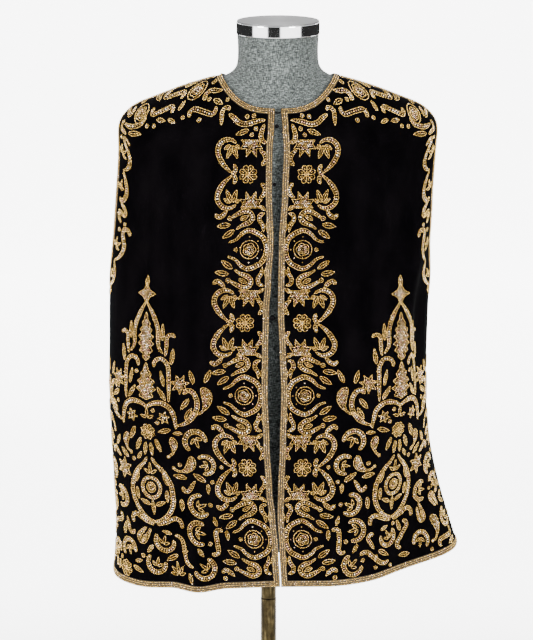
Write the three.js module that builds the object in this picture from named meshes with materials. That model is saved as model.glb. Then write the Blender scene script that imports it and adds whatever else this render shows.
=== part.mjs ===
// A sleeveless velvet evening jacket with a bead-braid edging, worn by a limbless dress form on a stand.
// Millimetres, +Z up, front towards -Y. The origin is the middle of the stand's foot, on the floor.
import * as THREE from "three";

// ---------- driving dimensions ----------
const jacketCentreX = 13.5; // the form and the jacket sit this far to one side of the pole
const clothWall = 2.0; // velvet and lining together
const seamHalfGap = 0.16; // each panel stops this far short of its seam
const edgingWidth = 9.5;
const edgingLift = 0.45; // clear space between cloth and edging
const edgingThickness = 2.1;
const armholeFront = 50; // how far the armhole reaches forward of the side seam
const armholeBack = 60;
const armholeRoundness = 0.62; // below 1 the armhole's ends are fuller than a sine
const frontColumns = 16;
const backColumns = 26;
const ringSamples = 72;
const seatClearance = 0.35; // a button or hook to the cloth beside it
const formClearance = 0.55; // between the cloth's inner face and the form, along the shoulder ridge
const restGap = 0.3; // between pieces that rest on each other
const poleRadius = 12;
const poleJointZ = 689;
const capRadius = 60;
const capBandHeight = 16.7;
const capTilt = THREE.MathUtils.degToRad(3.7); // the neck's cut leans forward
const capPivotZ = 1535.4; // middle of the neck's cut
const footRadius = 170;
const footSocketTop = 62;

// ---------- the jacket's sections, from the neckline down to the hem ----------
// Each row is one ring of the outer face: its half widths on the wearer's right (-X) and left (+X),
// its heights at the sides, the front and the back, its depths at the front and the back, how square
// each half is (2 = ellipse), and how flat its height stays across the front (2 = even, more = flatter).
const jacketColumns = [
  ...["sideZ", "right", "left", "frontZ", "front", "backZ", "back"],
  ...["rightSquare", "leftSquare", "flat"],
];
const jacketRings = [
  [1477, 80, 80, 1435, 75, 1461, 63, 2.0, 2.0, 3.3], // neckline
  [1474.5, 89.6, 89.6, 1427.4, 80.8, 1457.5, 72, 2.0, 2.0, 3.2], // inner side of the neck edging
  [1468.5, 112, 112, 1417, 87, 1450, 83, 2.0, 2.0, 3.0],
  [1459, 142, 142, 1404, 94, 1438, 95, 2.0, 2.0, 2.7],
  [1447.5, 172, 172, 1387, 101.5, 1421, 107, 2.05, 2.05, 2.4],
  [1435.5, 202, 202, 1366, 109, 1399, 118.5, 2.15, 2.15, 2.2],
  [1423.5, 218, 218, 1344, 115.5, 1373, 126.5, 2.3, 2.3, 2.1],
  [1406.5, 228, 228, 1320, 120.5, 1343, 132, 2.5, 2.5, 2.0], // shoulder tip
  [1372, 231.5, 228.5, 1291, 124.5, 1306, 136, 2.8, 2.8, 2.0],
  [1312, 236.5, 225.5, 1250, 128, 1261, 139, 3.0, 3.0, 2.0],
  [1240, 240, 223, 1200, 130, 1204, 141, 3.0, 3.0, 2.0],
  [1165, 243, 220.5, 1146, 132, 1147, 142, 2.95, 2.9, 2.0], // underarm
  [1100, 245, 219, 1094, 134, 1095, 143, 2.9, 2.8, 2.0],
  [1030, 248, 218.5, 1030, 136.5, 1030, 144, 2.9, 2.7, 2.0],
  [960, 246, 225, 960, 139.5, 960, 145, 2.95, 2.6, 2.0],
  [890, 242.5, 238, 890, 143, 890, 146, 3.0, 2.5, 2.0],
  [825, 240, 254, 825, 146.5, 825, 147, 3.1, 2.4, 2.0],
  [764.5, 243.5, 272, 764.5, 149.5, 764.5, 148, 3.2, 2.3, 2.0], // upper side of the hem edging
  [755, 244.5, 275, 755, 150, 755, 148, 3.2, 2.3, 2.0], // hem
];
const tipRing = 7;
const underarmRing = 11;
const hemRing = jacketRings.length - 1;

// Where each front's free edge runs, measured across from the middle of the jacket.
const edgeColumns = ["z", "right", "left"];
const frontEdges = [
  [1436, -4.4, 3.4],
  [1409, -5.3, 5.5],
  [1381, -7.6, 7.4],
  [1323, -8.5, 5.0],
  [1251, -6.2, 0.5],
  [1197, -9.5, -0.5],
  [1153, -12.5, -0.7],
  [1095, -13.7, 1.8],
  [1038, -14.4, 4.0],
  [966, -11.8, 2.2],
  [895, -7.9, -0.3],
  [860, -3.6, -1.2],
  [812, 0.4, 1.6],
  [755, 3.2, 4.4],
];

// Folds of the hanging cloth, a row each. Bearings are in degrees: 0 is the front, 90 the wearer's
// left, 180 the back. A fold runs from the bearing and height of its start to the bearing and height
// of its fullest place, and on to its end height, or to the hem where that is 0. It is as wide as
// width, in degrees, and moves the cloth by out, in mm, towards heading.
const outwards = null; // a heading straight away from the middle
const foldColumns = ["startBearing", "startZ", "fullBearing", "fullZ", "endZ", "width", "out", "heading"];
const folds = [
  [70, 1040, 66, 780, 0, 19, -34, 55], // left side, pushed in above the flared corner
  [70, 1310, 61, 1140, 960, 4.8, 7, outwards], // crease down the left front
  [79, 1300, 71, 1140, 960, 5.5, -8, outwards], // hollow beside that crease
  [-36, 900, -38, 790, 0, 6, 12, -8], // tuck at the right front's hem
  [-47, 890, -49, 800, 0, 5, -5, outwards], // groove beside that tuck
  [-104, 1090, -101, 860, 0, 9, -8, outwards], // behind the right side seam
  [-121, 1120, -119, 850, 0, 7, 6, outwards], // back, right side
  [-142, 1230, -139, 850, 0, 8, 9, outwards], // back, right blade
  [176, 1180, 178, 830, 0, 9, -8, outwards], // back, middle
  [140, 1250, 136, 860, 0, 8, 9, outwards], // back, left blade
  [113, 1120, 110, 850, 0, 8, -9, outwards], // back, left side
];

// How much the hem is lifted at each bearing; the lift fades out upwards to its top height.
const hemColumns = ["bearing", "lift"];
const hemLifts = [
  [-180, 0],
  [-125, -3],
  [-92, -9],
  [-62, -10],
  [-46, -6],
  [-37, -6],
  [-24, -2],
  [0, 0],
  [40, 0],
  [95, 17],
  [135, 3],
  [180, 0],
];
const hemLiftTop = 960;

// Ball buttons at the wearer's right front edge: the height and the radius of each.
const buttons = [
  [1412, 2.9],
  [1333, 2.6],
  [1146, 3.9],
];
const neckHook = { z: 1430, depth: 1.3, height: 3.2 };

// ---------- the dress form's sections, from the neck's cut down ----------
// The neck's cut is flat: its ring is a leaning plane. The rings below it are saddles.
const formColumns = ["sideZ", "side", "frontZ", "front", "backZ", "back", "square", "flat"];
const formNeckRings = [
  [1535, 58.5, 1531.2, 59, 1538.8, 58.5, 2.0, 2.0],
  [1512, 57.5, 1503, 58, 1516, 57, 2.0, 2.0],
  [1492, 59, 1474, 59.5, 1494, 56.5, 2.0, 2.4],
  [1481.5, 66, 1452, 62, 1476, 56.5, 2.0, 3.0],
];
const formCutRing = 0;
const formShoulderInsets = [8, 5.5, 6.5, 7.5, 9]; // the form's depth inside the jacket's first rings
const formBodyRings = [
  [1434, 198, 1352, 99, 1386, 108, 2.1, 2.0],
  [1421, 207, 1330, 104, 1358, 115, 2.15, 2.0],
  [1403, 210.5, 1308, 108, 1330, 120, 2.2, 2.0],
  [1376, 209, 1285, 111, 1300, 123.5, 2.25, 2.0],
  [1335, 203, 1252, 113, 1258, 126, 2.3, 2.0],
  [1270, 192, 1208, 113, 1210, 124, 2.3, 2.0],
  [1200, 181, 1158, 110, 1160, 118, 2.3, 2.0],
  [1120, 171, 1100, 104, 1102, 109, 2.25, 2.0],
  [1050, 163, 1045, 98, 1045, 103, 2.2, 2.0],
  [980, 164, 980, 97, 980, 106, 2.2, 2.0],
  [905, 171, 905, 100, 905, 114, 2.2, 2.0],
  [845, 175, 845, 102, 845, 118, 2.2, 2.0],
  [805, 173, 805, 100, 805, 115, 2.2, 2.0],
  [790, 165, 790, 93, 790, 108, 2.2, 2.0],
  [786, 150, 786, 82, 786, 95, 2.2, 2.0],
];
const formRingSides = 40;

// ---------- small mathematics ----------
const smooth = (x) => {
  const k = Math.min(1, Math.max(0, x));
  return k * k * (3 - 2 * k);
};

// One row of a table at a fractional row number, by a Catmull-Rom curve through the rows.
function tableRow(table, columns, t) {
  const i = Math.min(table.length - 2, Math.max(0, Math.floor(t)));
  const f = t - i;
  const rows = [i - 1, i, i + 1, i + 2].map((k) => table[Math.min(table.length - 1, Math.max(0, k))]);
  const values = columns.map((_, c) => {
    const [a, b, d, e] = rows.map((row) => row[c]);
    return b + 0.5 * f * (d - a + f * (2 * a - 5 * b + 4 * d - e + f * (3 * (b - d) + e - a)));
  });
  return Object.fromEntries(columns.map((name, c) => [name, values[c]]));
}

// A column of a table whose first column rises or falls steadily, eased between its rows.
function between(table, column, at) {
  const rising = table[1][0] > table[0][0];
  let i = 0;
  while (i < table.length - 2 && (rising ? table[i + 1][0] < at : table[i + 1][0] > at)) i++;
  const f = smooth((at - table[i][0]) / (table[i + 1][0] - table[i][0]));
  return THREE.MathUtils.lerp(table[i][column], table[i + 1][column], f);
}

const frontEdgeAt = (z, side) => between(frontEdges, edgeColumns.indexOf(side), z);

const power = (value, exponent) => Math.sign(value) * Math.abs(value) ** exponent;

// ---------- the jacket's surface ----------
// The cloth's folds, and the lift of the flared side, moved into a point of the plain ring.
function foldedPoint(p) {
  const bearing = THREE.MathUtils.radToDeg(Math.atan2(p.x, -p.y));
  const moved = p.clone();
  for (const row of folds) {
    const fold = Object.fromEntries(foldColumns.map((name, c) => [name, row[c]]));
    const grown = smooth((fold.startZ - p.z) / (fold.startZ - fold.fullZ));
    const left = fold.endZ ? smooth((p.z - fold.endZ) / (fold.fullZ - fold.endZ)) : 1;
    const centre = THREE.MathUtils.lerp(fold.startBearing, fold.fullBearing, grown);
    const off = THREE.MathUtils.euclideanModulo(bearing - centre + 180, 360) - 180;
    const amount = fold.out * grown * left * Math.exp(-((off / fold.width) ** 2));
    const heading = THREE.MathUtils.degToRad(fold.heading ?? bearing);
    moved.x += amount * Math.sin(heading);
    moved.y -= amount * Math.cos(heading);
  }
  const nearHem = smooth((hemLiftTop - p.z) / (hemLiftTop - jacketRings[hemRing][0]));
  moved.z += between(hemLifts, hemColumns.indexOf("lift"), bearing) * nearHem;
  return moved;
}

// The sizes of the half of a ring on one side of the middle: below zero is the wearer's right.
function halfRing(ring, side) {
  if (side >= 0) return { width: ring.left, square: ring.leftSquare };
  return { width: ring.right, square: ring.rightSquare };
}

// A point of the outer face: t counts rings, angle goes round from the front in radians.
function jacketPoint(t, angle) {
  const ring = tableRow(jacketRings, jacketColumns, t);
  const { width, square } = halfRing(ring, Math.sin(angle));
  const across = power(Math.sin(angle), 2 / square);
  const along = power(Math.cos(angle), 2 / square);
  const isFront = along >= 0;
  const depthZ = isFront ? ring.frontZ : ring.backZ;
  const sideShare = Math.abs(across) ** ring.flat;
  const plain = new THREE.Vector3(
    width * across,
    -along * (isFront ? ring.front : ring.back),
    ring.sideZ * sideShare + depthZ * (1 - sideShare),
  );
  return foldedPoint(plain);
}

function jacketNormal(t, angle) {
  const dt = 0.02;
  const da = 0.012;
  const down = jacketPoint(Math.min(hemRing, t + dt), angle).sub(jacketPoint(Math.max(0, t - dt), angle));
  const round = jacketPoint(t, angle + da).sub(jacketPoint(t, angle - da));
  return down.cross(round).normalize();
}

// The angle at which a ring meets the armhole's edge, or the side seam where there is no armhole.
function sideAngle(t, isFront, side) {
  const share = (t - tipRing) / (underarmRing - tipRing);
  if (share <= 0 || share >= 1) return Math.PI / 2;
  const ring = tableRow(jacketRings, jacketColumns, t);
  const reach = (isFront ? armholeFront : armholeBack) * Math.sin(Math.PI * share) ** armholeRoundness;
  const depth = isFront ? ring.front : ring.back;
  return Math.acos((reach / depth) ** (halfRing(ring, side).square / 2));
}

function edgeAngle(t, side) {
  const ring = tableRow(jacketRings, jacketColumns, t);
  const x = frontEdgeAt(ring.frontZ, side);
  const { width, square } = halfRing(ring, x);
  return Math.asin(power(x / width, square / 2));
}

// Angles of a ring's grid points between two ends: an edging's width at each end, even cells between.
// The margins are lengths left off the ends, in mm.
function anglesAlong(t, from, to, count, startMargin, endMargin) {
  const angles = [];
  const lengths = [0];
  for (let k = 0; k <= ringSamples; k++) {
    const share = k / ringSamples;
    angles.push(THREE.MathUtils.lerp(from, to, share));
    if (k === 0) continue;
    const step = jacketPoint(t, angles[k]).distanceTo(jacketPoint(t, angles[k - 1]));
    lengths.push(lengths[k - 1] + step);
  }
  const first = startMargin;
  const last = lengths[ringSamples] - endMargin;
  const evenCells = count - 2;
  const stops = [first];
  for (let k = 0; k <= evenCells; k++) {
    stops.push(THREE.MathUtils.lerp(first + edgingWidth, last - edgingWidth, k / evenCells));
  }
  stops.push(last);
  return stops.map((at) => {
    let k = 1;
    while (k < ringSamples && lengths[k] < at) k++;
    const f = (at - lengths[k - 1]) / (lengths[k] - lengths[k - 1]);
    return THREE.MathUtils.lerp(angles[k - 1], angles[k], f);
  });
}

// The rows of a panel's grid, as ring numbers: whole rings, with halves where the cloth turns most.
function gridRows() {
  const firstHalved = tipRing - 3;
  const rows = [];
  for (let t = 0; t <= hemRing; t++) {
    rows.push(t);
    if (t >= firstHalved && t < hemRing - 1) rows.push(t + 0.5);
  }
  return rows;
}

// A panel is a grid of outer points with their normals, one row per ring.
function panelGrid(anglesOfRow) {
  return gridRows().map((t) =>
    anglesOfRow(t).map((angle) => ({ point: jacketPoint(t, angle), normal: jacketNormal(t, angle) })),
  );
}

const seamMargin = (t) => (t <= tipRing || t >= underarmRing ? seamHalfGap : 0);

function frontGrid(side) {
  const turn = side === "left" ? 1 : -1;
  return panelGrid((t) => {
    const end = turn * sideAngle(t, true, turn);
    return anglesAlong(t, edgeAngle(t, side), end, frontColumns, 0, seamMargin(t));
  });
}

function backGrid() {
  return panelGrid((t) => {
    const start = Math.PI - sideAngle(t, false, 1);
    const end = Math.PI + sideAngle(t, false, -1);
    return anglesAlong(t, start, end, backColumns, seamMargin(t), seamMargin(t));
  });
}

// ---------- solids from grids ----------
function meshOf(name, positions, triangles, material) {
  const geometry = new THREE.BufferGeometry();
  geometry.setAttribute("position", new THREE.Float32BufferAttribute(positions, 3));
  geometry.setIndex(triangles);
  geometry.computeVertexNormals();
  const mesh = new THREE.Mesh(geometry, material);
  mesh.name = name;
  return mesh;
}

// A closed slab over the chosen cells of a grid, between two heights above its outer face.
function slabOverCells(name, grid, chosen, low, high, material, faceOut) {
  const columns = grid[0].length;
  const positions = [];
  const triangles = [];
  const places = new Map();
  const vertex = (i, j, isHigh) => {
    const key = (i * columns + j) * 2 + (isHigh ? 1 : 0);
    if (!places.has(key)) {
      const { point, normal } = grid[i][j];
      places.set(key, positions.length / 3);
      positions.push(...point.clone().addScaledVector(normal, isHigh ? high : low).toArray());
    }
    return places.get(key);
  };
  const quad = (a, b, c, d) => {
    if (faceOut) triangles.push(a, b, c, a, c, d);
    else triangles.push(a, c, b, a, d, c);
  };
  const has = (i, j) => i >= 0 && j >= 0 && i < grid.length - 1 && j < columns - 1 && chosen(i, j);
  for (let i = 0; i < grid.length - 1; i++) {
    for (let j = 0; j < columns - 1; j++) {
      if (!has(i, j)) continue;
      const corners = [[i, j], [i + 1, j], [i + 1, j + 1], [i, j + 1]];
      const top = corners.map(([a, b]) => vertex(a, b, true));
      const bottom = corners.map(([a, b]) => vertex(a, b, false));
      quad(...top);
      quad(bottom[0], bottom[3], bottom[2], bottom[1]);
      const neighbours = [has(i, j - 1), has(i + 1, j), has(i, j + 1), has(i - 1, j)];
      neighbours.forEach((joined, k) => {
        const next = (k + 1) % 4;
        if (!joined) quad(top[k], bottom[k], bottom[next], top[next]);
      });
    }
  }
  return meshOf(name, positions, triangles, material);
}

// ---------- materials ----------
const velvet = new THREE.MeshStandardMaterial({ color: 0x07070a, roughness: 0.95, metalness: 0 });
const beadGold = new THREE.MeshStandardMaterial({ color: 0xb08a4a, roughness: 0.38, metalness: 0.75 });
const greyCover = new THREE.MeshStandardMaterial({ color: 0x8f9694, roughness: 0.9, metalness: 0 });
const chrome = new THREE.MeshStandardMaterial({ color: 0xd8d9db, roughness: 0.12, metalness: 1 });
const brushedSteel = new THREE.MeshStandardMaterial({ color: 0xb9babb, roughness: 0.38, metalness: 1 });
const agedBrass = new THREE.MeshStandardMaterial({ color: 0x6d5a34, roughness: 0.42, metalness: 0.9 });
const blackSatin = new THREE.MeshStandardMaterial({ color: 0x101014, roughness: 0.3, metalness: 0 });
const blackWire = new THREE.MeshStandardMaterial({ color: 0x15151a, roughness: 0.35, metalness: 0.6 });

// ---------- the jacket ----------
const everyCell = () => true;

function clothPanel(name, grid, faceOut) {
  return slabOverCells(name, grid, everyCell, -clothWall, 0, velvet, faceOut);
}

// Rows of the grid in which the panel's outer column lies on the armhole's edge.
function isArmholeRow(i) {
  const rows = gridRows();
  return rows[i] >= tipRing && rows[i + 1] <= underarmRing;
}

function edging(name, grid, chosen, faceOut) {
  const high = edgingLift + edgingThickness;
  return slabOverCells(name, grid, chosen, edgingLift, high, beadGold, faceOut);
}

function jacket() {
  const parts = new THREE.Group();
  const rows = gridRows();
  const lastRow = rows.length - 2;
  const tipRow = rows.indexOf(tipRing) - 1;
  for (const side of ["left", "right"]) {
    const grid = frontGrid(side);
    const lastColumn = grid[0].length - 2;
    const faceOut = side === "left";
    parts.add(clothPanel(`${side}_front`, grid, faceOut));
    const border = (i, j) => i === 0 || i === lastRow || j === 0;
    parts.add(edging(`edging_${side}_front`, grid, border, faceOut));
    const shoulder = (i, j) => j === lastColumn && i > 0 && i <= tipRow;
    const armhole = (i, j) => j === lastColumn && isArmholeRow(i);
    const sideRun = (i, j) => shoulder(i, j) || armhole(i, j);
    parts.add(edgingInset(`edging_${side}_armhole_front`, grid, sideRun, faceOut));
  }
  const back = backGrid();
  const lastColumn = back[0].length - 2;
  parts.add(clothPanel("back", back, true));
  parts.add(edging("edging_back_neck", back, (i) => i === 0, true));
  parts.add(edging("edging_back_hem", back, (i) => i === lastRow, true));
  for (const [side, column] of [["left", 0], ["right", lastColumn]]) {
    const armhole = (i, j) => j === column && isArmholeRow(i);
    parts.add(edging(`edging_${side}_armhole_back`, back, armhole, true));
  }
  return parts;
}

// An edging whose first row is drawn in, so that it stays clear of the neck edging above it.
function edgingInset(name, grid, chosen, faceOut) {
  const clear = 0.05;
  const inset = grid.map((row) => row.slice());
  inset[1] = grid[1].map((place, j) => ({
    point: place.point.clone().lerp(grid[2][j].point, clear),
    normal: place.normal,
  }));
  return edging(name, inset, chosen, faceOut);
}

// The middle of a front's free edge at one height.
function edgePoint(z, side) {
  const step = 0.01;
  let t = 0;
  while (t < hemRing && tableRow(jacketRings, jacketColumns, t).frontZ > z) t += step;
  const angle = edgeAngle(t, side);
  return jacketPoint(t, angle).addScaledVector(jacketNormal(t, angle), -clothWall / 2);
}

function closures() {
  const parts = new THREE.Group();
  buttons.forEach(([z, radius], k) => {
    const ball = new THREE.Mesh(new THREE.SphereGeometry(radius, 14, 10), blackSatin);
    ball.name = `button_${k + 1}`;
    ball.position.copy(edgePoint(z, "right")).x += radius + seatClearance;
    parts.add(ball);
  });
  const [from, to] = [edgePoint(neckHook.z, "right"), edgePoint(neckHook.z, "left")];
  const span = to.x - from.x - 2 * seatClearance;
  const hook = new THREE.Mesh(new THREE.BoxGeometry(span, neckHook.depth, neckHook.height), blackWire);
  hook.name = "neck_hook";
  hook.position.copy(from).add(to).multiplyScalar(0.5);
  parts.add(hook);
  return parts;
}

// ---------- the dress form ----------
// Rings under the jacket's shoulders follow its inner face; the rest have the form's own sizes.
function formRings() {
  const shoulders = formShoulderInsets.map((inset, t) => {
    const ring = tableRow(jacketRings, jacketColumns, t);
    const ridge = jacketPoint(t, Math.PI / 2);
    ridge.addScaledVector(jacketNormal(t, Math.PI / 2), -(clothWall + formClearance));
    const [frontZ, backZ] = [ring.frontZ - 1, ring.backZ - 2];
    const [front, back] = [ring.front - inset, ring.back - inset];
    return [ridge.z, ridge.x, frontZ, front, backZ, back, ring.leftSquare, ring.flat];
  });
  return [...formNeckRings, ...shoulders, ...formBodyRings];
}

function formBody() {
  const positions = [];
  const triangles = [];
  const rings = formRings();
  rings.forEach((values, i) => {
    const ring = Object.fromEntries(formColumns.map((name, c) => [name, values[c]]));
    for (let k = 0; k < formRingSides; k++) {
      const angle = (2 * Math.PI * k) / formRingSides;
      const across = power(Math.sin(angle), 2 / ring.square);
      const along = power(Math.cos(angle), 2 / ring.square);
      const isFront = along >= 0;
      const depthShare = i === formCutRing ? Math.abs(along) : 1 - Math.abs(across) ** ring.flat;
      positions.push(
        ring.side * across,
        -along * (isFront ? ring.front : ring.back),
        ring.sideZ * (1 - depthShare) + (isFront ? ring.frontZ : ring.backZ) * depthShare,
      );
    }
  });
  for (let i = 0; i < rings.length - 1; i++) {
    for (let k = 0; k < formRingSides; k++) {
      const next = (k + 1) % formRingSides;
      const [a, b] = [i * formRingSides + k, i * formRingSides + next];
      const [c, d] = [a + formRingSides, b + formRingSides];
      triangles.push(a, c, b, b, c, d);
    }
  }
  for (const [ring, turned] of [[0, false], [rings.length - 1, true]]) {
    const centre = positions.length / 3;
    const mean = (axis) => {
      let sum = 0;
      for (let k = 0; k < formRingSides; k++) sum += positions[(ring * formRingSides + k) * 3 + axis];
      return sum / formRingSides;
    };
    positions.push(mean(0), mean(1), mean(2));
    for (let k = 0; k < formRingSides; k++) {
      const a = ring * formRingSides + k;
      const b = ring * formRingSides + ((k + 1) % formRingSides);
      if (turned) triangles.push(centre, b, a);
      else triangles.push(centre, a, b);
    }
  }
  return meshOf("form_body", positions, triangles, greyCover);
}

function neckCap() {
  const parts = new THREE.Group();
  parts.position.set(0, 0, capPivotZ);
  parts.rotation.x = capTilt;
  const bandOutline = [[0, 0], [capRadius, 0], [capRadius, capBandHeight], [0, capBandHeight]];
  const band = new THREE.Mesh(turned(bandOutline), chrome);
  band.name = "cap_band";
  const plateThickness = 1.6;
  const plateInset = 1.1;
  const plateRadius = capRadius - plateInset;
  const plateBottom = capBandHeight + restGap;
  const plateTop = plateBottom + plateThickness;
  const bevel = 0.6;
  const plateOutline = [
    [0, plateBottom],
    [plateRadius, plateBottom],
    [plateRadius, plateTop - bevel],
    [plateRadius - bevel, plateTop],
    [0, plateTop],
  ];
  const plate = new THREE.Mesh(turned(plateOutline), brushedSteel);
  plate.name = "cap_plate";
  parts.add(band, plate);
  return parts;
}

// A solid of revolution about +Z from an outline of [radius, height] pairs that starts and ends on the axis.
function turned(outline, sides = 48) {
  const lathe = new THREE.LatheGeometry(outline.map(([r, z]) => new THREE.Vector2(r, z)), sides);
  lathe.rotateX(Math.PI / 2);
  return lathe;
}

// ---------- the stand ----------
function poleTube(name, bottom, top, radius) {
  const bevel = 0.8;
  const sides = 28;
  const outline = [
    [0, bottom],
    [radius - bevel, bottom],
    [radius, bottom + bevel],
    [radius, top - bevel],
    [radius - bevel, top],
    [0, top],
  ];
  const tube = new THREE.Mesh(turned(outline, sides), agedBrass);
  tube.name = name;
  return tube;
}

function stand() {
  const parts = new THREE.Group();
  const formFloor = formBodyRings[formBodyRings.length - 1][0];
  const upperRadius = poleRadius - 0.3;
  parts.add(poleTube("pole_upper", poleJointZ + restGap, formFloor - restGap, upperRadius));
  parts.add(poleTube("pole_lower", footSocketTop + restGap, poleJointZ, poleRadius));
  const socketRadius = poleRadius + 6;
  const footSides = 56;
  const footOutline = [
    [0, 0],
    [footRadius - 2, 0],
    [footRadius, 2],
    [footRadius, 9],
    [footRadius - 4, 13],
    [footRadius * 0.72, 17],
    [footRadius * 0.34, 23],
    [socketRadius + 9, 28],
    [socketRadius, 36],
    [socketRadius, footSocketTop - 2],
    [socketRadius - 2, footSocketTop],
    [0, footSocketTop],
  ];
  const foot = new THREE.Mesh(turned(footOutline, footSides), agedBrass);
  foot.name = "foot";
  parts.add(foot);
  return parts;
}

const dressed = new THREE.Group();
dressed.position.x = jacketCentreX;
dressed.add(jacket(), closures(), formBody(), neckCap());

const part = new THREE.Group();
part.add(dressed, stand());

export default part;
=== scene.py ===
"""Visual model of a sleeveless black velvet evening jacket, worn by a limbless dress form.

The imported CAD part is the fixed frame. This script lays the finer cloth, the bead braid, the bead
embroidery, the form's woven cover, the neck cap and the stand over it, and stages it in a studio.
Lengths in the tables are millimetres in the jacket's own frame, whose x starts at the middle of the
jacket; meshes are written in metres in the part's frame.
"""

import logging
import math
from abc import ABC, abstractmethod
from dataclasses import dataclass
from enum import Enum
from typing import Dict, List, Optional, Sequence, Set, Tuple, Union

import bpy
import numpy as np
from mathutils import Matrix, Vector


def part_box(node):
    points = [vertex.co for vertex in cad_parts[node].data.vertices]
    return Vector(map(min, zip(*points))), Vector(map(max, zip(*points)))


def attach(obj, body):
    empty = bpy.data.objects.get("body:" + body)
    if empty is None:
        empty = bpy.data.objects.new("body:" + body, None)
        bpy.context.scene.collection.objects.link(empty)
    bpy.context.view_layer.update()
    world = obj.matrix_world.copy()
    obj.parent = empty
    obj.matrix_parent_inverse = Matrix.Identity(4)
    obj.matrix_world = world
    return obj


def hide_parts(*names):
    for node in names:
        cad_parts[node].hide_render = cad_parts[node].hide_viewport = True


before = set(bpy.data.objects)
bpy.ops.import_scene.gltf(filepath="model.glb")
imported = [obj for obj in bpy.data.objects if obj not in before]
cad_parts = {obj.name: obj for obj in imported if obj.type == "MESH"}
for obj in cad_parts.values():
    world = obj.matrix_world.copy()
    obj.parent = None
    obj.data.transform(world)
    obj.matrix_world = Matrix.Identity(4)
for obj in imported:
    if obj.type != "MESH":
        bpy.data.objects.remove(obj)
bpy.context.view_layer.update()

LOG = logging.getLogger("jacket")
MM = 0.001
JACKET_X = 13.5
SEED = 2677

Points = np.ndarray
Flat = Sequence[Tuple[float, float]]
Colour = Tuple[float, float, float]
Stops = Sequence[Tuple[float, Colour]]
Inputs = Dict[Union[str, int], object]
EVEN = (1.0, 1.0, 1.0)


# ---------- small mathematics ----------


def smooth(value: np.ndarray) -> np.ndarray:
    """Eases a share from 0 to 1."""
    held = np.clip(value, 0.0, 1.0)
    return held * held * (3.0 - 2.0 * held)


def signed_power(value: np.ndarray, exponent: np.ndarray) -> np.ndarray:
    """Raises a size to a power and keeps its sign."""
    return np.sign(value) * np.abs(value) ** exponent


def table_rows(table: np.ndarray, at: np.ndarray) -> np.ndarray:
    """Reads rows of a table at fractional row numbers, by a Catmull-Rom curve.

    Args:
        table: The table, one row a station.
        at: Fractional row numbers.

    Returns:
        One row of values for each number.
    """
    at = np.asarray(at, float)
    last = len(table) - 1
    i = np.clip(np.floor(at).astype(int), 0, last - 1)
    f = (at - i)[..., None]
    a, b, c, d = (table[np.clip(i + k, 0, last)] for k in (-1, 0, 1, 2))
    return b + 0.5 * f * (c - a + f * (2 * a - 5 * b + 4 * c - d + f * (3 * (b - c) + d - a)))


def eased(stations: np.ndarray, values: np.ndarray, at: np.ndarray) -> np.ndarray:
    """Reads a column of values, eased between its stations.

    Args:
        stations: Rising stations.
        values: The value at each station.
        at: Where to read.

    Returns:
        The eased values.
    """
    i = np.clip(np.searchsorted(stations, at, side="right") - 1, 0, len(stations) - 2)
    share = smooth((at - stations[i]) / (stations[i + 1] - stations[i]))
    return values[i] + (values[i + 1] - values[i]) * share


def unit(vectors: Points) -> Points:
    """Scales vectors to length one."""
    return vectors / np.maximum(np.linalg.norm(vectors, axis=-1, keepdims=True), 1e-12)


def curve(points: Flat, step: float = 0.7, closed: bool = False) -> np.ndarray:
    """Draws a soft curve through charted points.

    Args:
        points: The charted points, in order.
        step: Distance between the points of the result.
        closed: Whether the curve returns to its first point.

    Returns:
        The curve's points.
    """
    given = np.asarray(points, float)
    if closed:
        given = np.vstack([given, given[:1]])
    if len(given) == 2:
        return evenly(given, step)
    before = given[-2] if closed else 2 * given[0] - given[1]
    after = given[1] if closed else 2 * given[-1] - given[-2]
    padded = np.vstack([before, given, after])
    at = np.linspace(1, len(padded) - 2, (len(given) - 1) * 14 + 1)
    return evenly(table_rows(padded, at), step)


def evenly(points: np.ndarray, step: float) -> np.ndarray:
    """Spaces the points of a line evenly.

    Args:
        points: The line's points.
        step: The wanted distance between points.

    Returns:
        The line with even steps.
    """
    lengths = np.linalg.norm(np.diff(points, axis=0), axis=1)
    run = np.concatenate([[0.0], np.cumsum(lengths)])
    count = max(2, int(round(run[-1] / step)) + 1)
    at = np.linspace(0.0, run[-1], count)
    return np.stack([np.interp(at, run, points[:, k]) for k in range(points.shape[1])], axis=1)


# ---------- the jacket's cut ----------

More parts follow.
